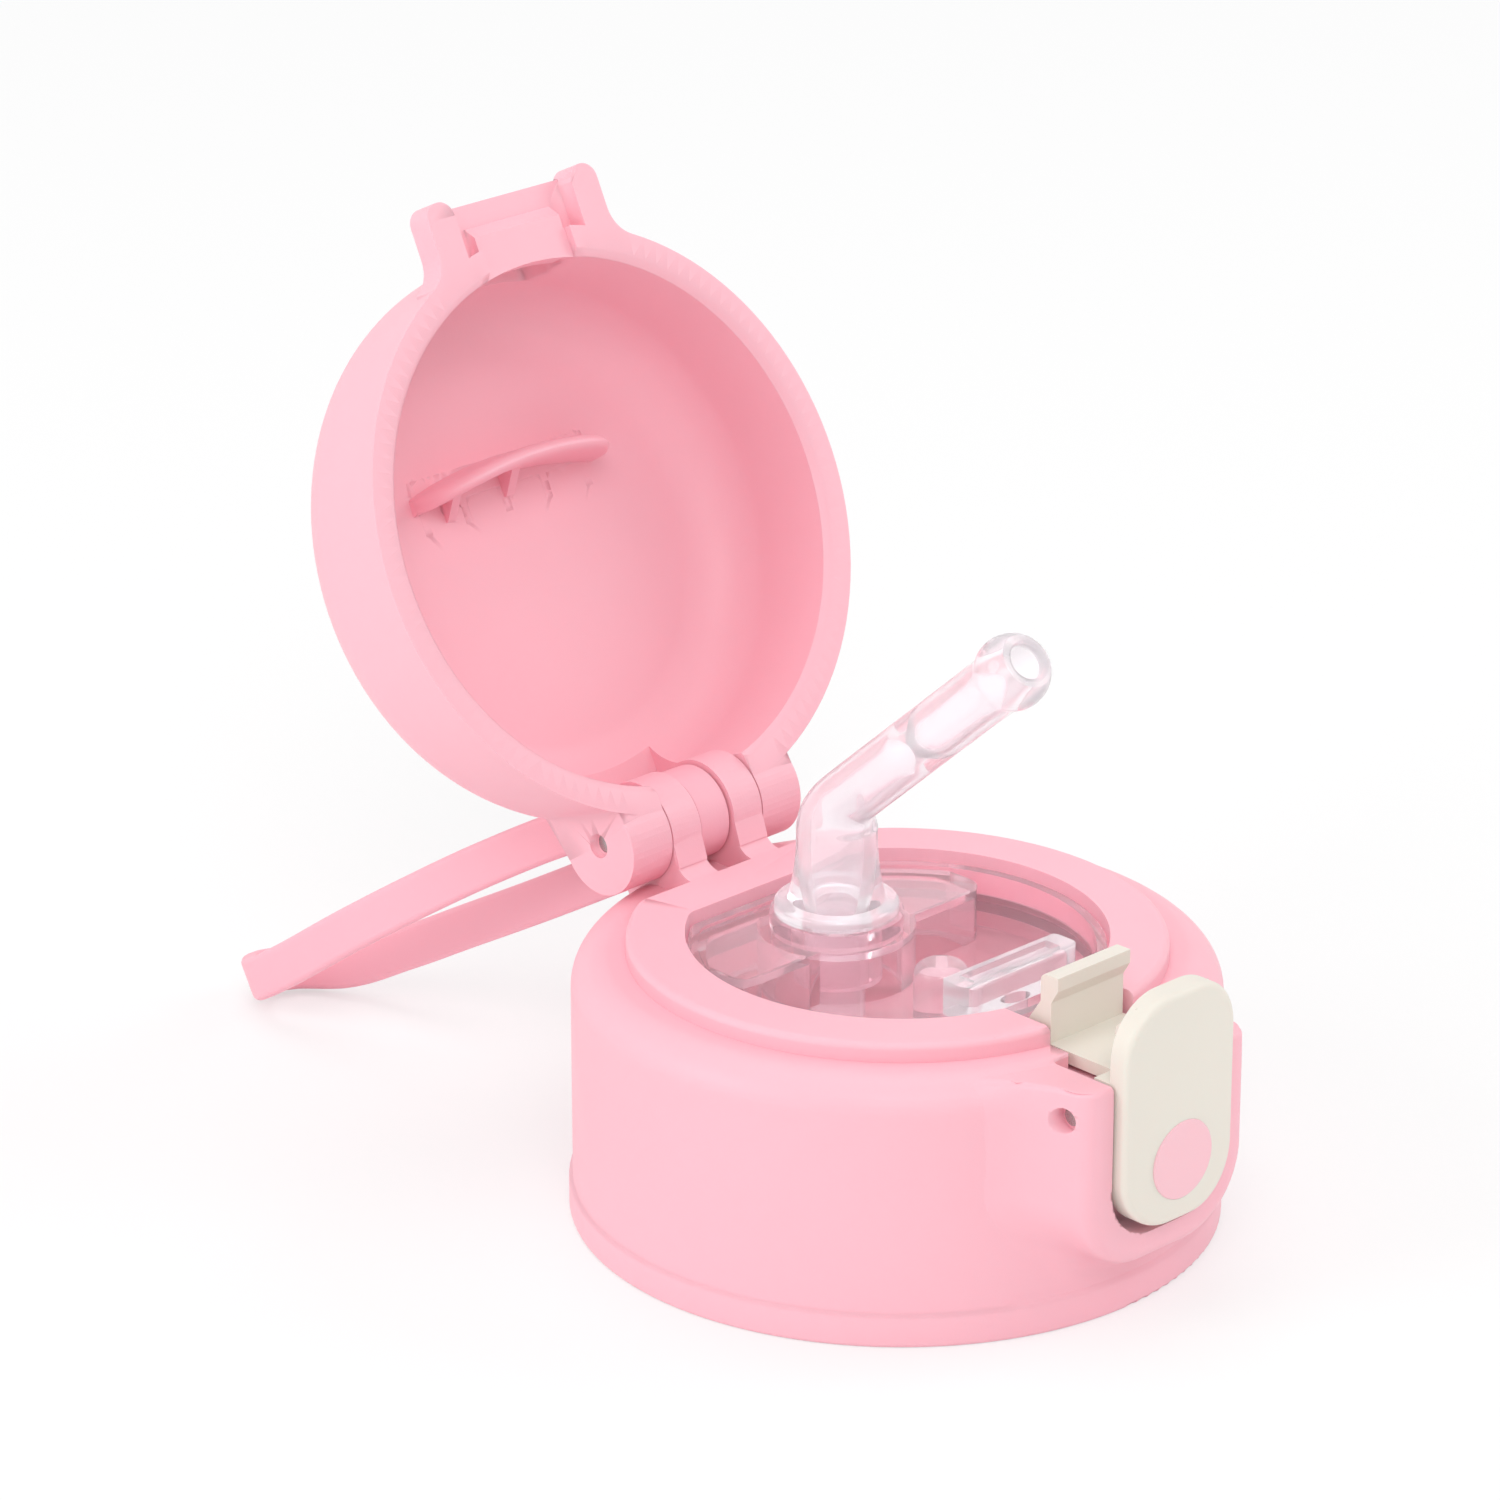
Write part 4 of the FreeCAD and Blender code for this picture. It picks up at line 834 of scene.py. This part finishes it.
class CAP_OT_cap(BottleCapOperator):
    """Makes the screw cap with its soft pad round the latch and rounded feet under the hinge ears"""
    bl_idname = "bottle_cap.screw_cap"
    bl_label = "Screw cap"

    def execute(self, context):
        sizes = context.scene.cap_housing
        pad = in_millimetres(sizes)
        base = bmesh.new()
        base.from_mesh(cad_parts["cap_body"].data)
        bmesh.ops.remove_doubles(base, verts=base.verts, dist=1e-6)
        tools = [(old_housing_tool(), "DIFFERENCE"), (pad_block(pad), "UNION"), (pocket_tool(), "DIFFERENCE"),
                 (slot_tool(), "DIFFERENCE"),
                 (round_bar(LATCH_PIN, 2.6, -POCKET_HALF, POCKET_HALF), "DIFFERENCE"),
                 (round_bar(LATCH_PIN, 1.0, -14.0, 14.0), "DIFFERENCE")]
        for low, high in ((-14.0, -11.3), (11.3, 14.0)):
            tools.append((round_bar(LATCH_PIN, 1.4, low, high), "DIFFERENCE"))
        for low, high in ((-6.7, -2.5), (2.5, 6.7)):
            tools.append((ear_foot(pad, low, high), "UNION"))
        piece = combined("screw_cap", base, tools, bpy.data.materials["Matte pink plastic"])
        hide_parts("cap_body")
        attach(piece, "cap")
        return {"FINISHED"}


class CAP_OT_lid(BottleCapOperator):
    """Makes the lid with the curved plate that pinches the straw"""
    bl_idname = "bottle_cap.lid"
    bl_label = "Lid"

    def execute(self, context):
        plate = in_millimetres(context.scene.cap_lid_plate)
        plate.back = -plate.back
        base = bmesh.new()
        base.from_mesh(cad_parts["lid"].data)
        bmesh.ops.remove_doubles(base, verts=base.verts, dist=1e-6)
        tools = [(opened(old_plate_tool()), "DIFFERENCE"), (opened(curved_plate(plate)), "UNION")]
        for x in (-8.6, 0.4):
            tools.append((opened(plate_gusset(plate, x)), "UNION"))
        piece = combined("flip_lid", base, tools, bpy.data.materials["Matte pink plastic"])
        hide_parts("lid")
        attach(piece, "lid")
        return {"FINISHED"}


class CAP_OT_latch(BottleCapOperator):
    """Gives the press latch its off-white plastic"""
    bl_idname = "bottle_cap.latch"
    bl_label = "Latch"

    def execute(self, context):
        looks = self.looks
        paint(["latch"], moulded_plastic("Off-white plastic", looks.latch_white, looks.matte - 0.02, looks.grain))
        return {"FINISHED"}


class CAP_OT_insert(BottleCapOperator):
    """Gives the tray and the air valve their clear plastic and silicone"""
    bl_idname = "bottle_cap.insert"
    bl_label = "Clear tray and valve"

    def execute(self, context):
        looks = self.looks
        paint(["clear_insert"], clear_material("Clear plastic", looks.insert_tint, 0.04, 1.33, 0.2, 0.00002))
        paint(["vent_valve"], clear_material("Valve silicone", looks.silicone_tint, 0.12, 1.36, 0.22, 0.00004))
        return {"FINISHED"}


class CAP_OT_mouthpiece(BottleCapOperator):
    """Makes the bent silicone mouthpiece with its bulb, bore and valve"""
    bl_idname = "bottle_cap.mouthpiece"
    bl_label = "Mouthpiece"

    def execute(self, context):
        looks = self.looks
        sizes = context.scene.cap_mouthpiece
        item = clear_material("Clear silicone", looks.silicone_tint, 0.07, 1.36, 0.24, 0.00004)
        skin = tube_rings(mouthpiece_rings(sizes.wall / MM, sizes.pinch), sizes.sides)
        piece = finished("mouthpiece", skin, item)
        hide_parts("straw_spout")
        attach(piece, "cap")
        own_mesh(piece)
        return {"FINISHED"}


class CAP_OT_loop(BottleCapOperator):
    """Makes the soft carry loop: a barrel on the hinge pin and a band that leaves it and comes back"""
    bl_idname = "bottle_cap.loop"
    bl_label = "Carry loop"

    def execute(self, context):
        looks = self.looks
        sizes = context.scene.cap_loop
        item = moulded_plastic("Soft pink plastic", looks.loop_pink, looks.matte + 0.06, looks.grain)
        section = rounded_rectangle(sizes.thickness / MM / 2.0, sizes.width / MM / 2.0, sizes.edge / MM)
        lean = math.radians(LOOP_LEAN)
        band = swept_band(smooth_route(LOOP_ROUTE, 8), section, Vector((0.0, math.sin(lean), math.cos(lean))))
        half, radius, bore, edge = 2.3, 5.2, 1.05, 0.25
        ring = [(-half, bore), (-half, radius - edge), (-half + edge, radius), (half - edge, radius),
                (half, radius - edge), (half, bore)]
        piece = combined("loop", lathe_x(ring, HINGE, 96), [(band, "UNION")], item)
        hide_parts("carry_loop")
        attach(piece, "loop")
        return {"FINISHED"}


class CAP_OT_thread(BottleCapOperator):
    """Makes the ridge of the bottle thread inside the skirt"""
    bl_idname = "bottle_cap.thread"
    bl_label = "Bottle thread"

    def execute(self, context):
        sizes = context.scene.cap_thread
        sunk = 0.3 * MM
        bore = 32.5 * MM
        values = {
            "Turns": sizes.turns, "Steps": 96, "Radius": bore - (sizes.depth - sunk) / 2.0,
            "Height": sizes.pitch * sizes.turns, "Width": sizes.root, "Top width": sizes.crest,
            "Depth": sizes.depth + sunk, "Material": bpy.data.materials["Matte pink plastic"],
        }
        piece = grown("bottle_thread", coil_tree("Thread ridge", True), values,
                      Matrix.Translation((0.0, 0.0, sizes.start)))
        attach(piece, "cap")
        return {"FINISHED"}


class CAP_OT_metal(BottleCapOperator):
    """Gives the pins and the spring their steel"""
    bl_idname = "bottle_cap.metal"
    bl_label = "Pins and spring"

    def execute(self, context):
        paint(STEEL_NODES, metal("Drawn steel", self.looks.steel, 0.3))
        return {"FINISHED"}


class CAP_OT_spring(BottleCapOperator):
    """Makes the round wire spring behind the latch"""
    bl_idname = "bottle_cap.spring"
    bl_label = "Latch spring"

    def execute(self, context):
        sizes = context.scene.cap_spring
        steel = bpy.data.materials["Drawn steel"]
        latch_back, height, gap = 38.7 * MM, 17.0 * MM, 0.1 * MM
        start = gap + sizes.wire - latch_back
        wall = POCKET_BACK * MM
        values = {"Turns": sizes.turns, "Steps": 32, "Radius": sizes.coil, "Width": sizes.wire,
                  "Height": -wall - gap - sizes.wire - start, "Material": steel}
        along_y = Matrix.Translation((0.0, start, height)) @ Matrix.Rotation(math.radians(-90.0), 4, "X")
        piece = grown("spring", coil_tree("Spring wire", False), values, along_y)
        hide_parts("latch_spring")
        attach(piece, "cap")
        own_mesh(piece)
        return {"FINISHED"}


class CAP_OT_gasket(BottleCapOperator):
    """Gives the sealing ring its white silicone"""
    bl_idname = "bottle_cap.gasket"
    bl_label = "Sealing ring"

    def execute(self, context):
        paint(["bottle_gasket"], moulded_plastic("White silicone", self.looks.gasket_white, 0.5, self.looks.grain))
        return {"FINISHED"}


def seen_directly(tree):
    """1 for camera, glossy and transmitted rays, and 0 for light that bounces."""
    rays = tree.nodes.new("ShaderNodeLightPath")
    total = rays.outputs["Is Camera Ray"]
    for name in ("Is Glossy Ray", "Is Transmission Ray"):
        item = tree.nodes.new("ShaderNodeMath")
        item.operation = "MAXIMUM"
        tree.links.new(total, item.inputs[0])
        tree.links.new(rays.outputs[name], item.inputs[1])
        total = item.outputs[0]
    return total


def floor_material(base, whitening):
    """A pale floor that keeps the object's shadow, and looks nearly white to the camera."""
    item = bpy.data.materials.new("Pale floor")
    item.use_nodes = True
    tree = item.node_tree
    tree.nodes.clear()
    output = tree.nodes.new("ShaderNodeOutputMaterial")
    dull = tree.nodes.new("ShaderNodeBsdfDiffuse")
    dull.inputs["Color"].default_value = (*base, 1.0)
    white = tree.nodes.new("ShaderNodeEmission")
    scale = tree.nodes.new("ShaderNodeMath")
    scale.operation = "MULTIPLY"
    scale.inputs[1].default_value = whitening
    mix = tree.nodes.new("ShaderNodeMixShader")
    tree.links.new(seen_directly(tree), scale.inputs[0])
    tree.links.new(scale.outputs[0], mix.inputs["Fac"])
    tree.links.new(dull.outputs["BSDF"], mix.inputs[1])
    tree.links.new(white.outputs["Emission"], mix.inputs[2])
    tree.links.new(mix.outputs["Shader"], output.inputs["Surface"])
    return item


def light_world(ambient):
    world = bpy.data.worlds.new("Studio")
    bpy.context.scene.world = world
    world.use_nodes = True
    tree = world.node_tree
    background = next(node for node in tree.nodes if node.type == "BACKGROUND")
    background.inputs["Color"].default_value = (1.0, 1.0, 1.0, 1.0)
    strength = tree.nodes.new("ShaderNodeMapRange")
    set_inputs(strength, To_Min=ambient, To_Max=1.0)
    tree.links.new(seen_directly(tree), strength.inputs["Value"])
    tree.links.new(strength.outputs["Result"], background.inputs["Strength"])


def lamp(name, position, aim, size, watts):
    data = bpy.data.lights.new(name, "AREA")
    data.shape = "DISK"
    data.size = size
    data.energy = watts
    item = bpy.data.objects.new(name, data)
    item.location = position
    item.rotation_euler = (Vector(aim) - Vector(position)).to_track_quat("-Z", "Y").to_euler()
    bpy.context.scene.collection.objects.link(item)
    return item


def camera():
    data = bpy.data.cameras.new("Photo camera")
    data.sensor_width = 36.0
    data.lens = 6382.0 / 1500.0 * data.sensor_width
    data.clip_start = 0.01
    data.clip_end = 50.0
    item = bpy.data.objects.new("Photo camera", data)
    position = Vector((-447.16, -437.23, 305.91)) * MM
    target = Vector((-11.30, 10.99, 52.64)) * MM
    item.location = position
    item.rotation_euler = (target - position).to_track_quat("-Z", "Y").to_euler()
    bpy.context.scene.collection.objects.link(item)
    bpy.context.scene.camera = item


class CAP_OT_studio(BottleCapOperator):
    """Makes the pale floor, the soft lamps and the camera at the photograph's angle"""
    bl_idname = "bottle_cap.studio"
    bl_label = "Studio"

    def execute(self, context):
        studio = context.scene.cap_studio
        bm = bmesh.new()
        bmesh.ops.create_circle(bm, cap_ends=True, segments=128, radius=4.0)
        floor = finished("studio_floor", bm, floor_material(studio.floor, 0.55))
        light_world(studio.ambient)
        strength = studio.key
        lamp("Front lamp", (-0.9, -1.0, 1.3), (0.0, 0.0, 0.04), 0.9, 9.0 * strength)
        lamp("Left lamp", (-1.3, 0.5, 0.7), (0.0, 0.0, 0.04), 0.9, 6.5 * strength)
        lamp("Right lamp", (1.2, -0.7, 0.9), (0.0, 0.0, 0.04), 0.8, 4.5 * strength)
        lamp("Top lamp", (0.1, 0.3, 1.6), (0.0, 0.02, 0.04), 1.0, 4.5 * strength)
        context.scene.view_settings.view_transform = "Standard"
        camera()
        return {"FINISHED"}


STEPS = (CAP_OT_studio, CAP_OT_pink, CAP_OT_cap, CAP_OT_lid, CAP_OT_latch, CAP_OT_insert, CAP_OT_mouthpiece, CAP_OT_loop,
         CAP_OT_thread, CAP_OT_metal, CAP_OT_spring, CAP_OT_gasket)


class CAP_PT_panel(bpy.types.Panel):
    """Lists the steps and their sizes"""
    bl_label = "Bottle cap"
    bl_idname = "CAP_PT_panel"
    bl_space_type = "VIEW_3D"
    bl_region_type = "UI"
    bl_category = "Bottle cap"

    def draw(self, context):
        for name in GROUPS:
            box = self.layout.box()
            group = getattr(context.scene, name)
            for key in group.bl_rna.properties.keys():
                if key not in ("rna_type", "name"):
                    box.prop(group, key)
        for step in STEPS:
            self.layout.operator(step.bl_idname)


GROUPS = {
    "cap_finishes": CapFinishes,
    "cap_housing": HousingSizes,
    "cap_lid_plate": LidPlateSizes,
    "cap_mouthpiece": MouthpieceSizes,
    "cap_loop": LoopSizes,
    "cap_thread": ThreadSizes,
    "cap_spring": SpringSizes,
    "cap_studio": StudioSizes,
}


def register():
    for group in GROUPS.values():
        bpy.utils.register_class(group)
    for name, group in GROUPS.items():
        setattr(bpy.types.Scene, name, PointerProperty(type=group))
    for item in STEPS + (CAP_PT_panel,):
        bpy.utils.register_class(item)


def unregister():
    for item in reversed(STEPS + (CAP_PT_panel,)):
        bpy.utils.unregister_class(item)
    for name, group in GROUPS.items():
        delattr(bpy.types.Scene, name)
        bpy.utils.unregister_class(group)


def main():
    register()
    for step in STEPS:
        family, action = step.bl_idname.split(".")
        getattr(getattr(bpy.ops, family), action)()


if __name__ == "__main__":
    main()
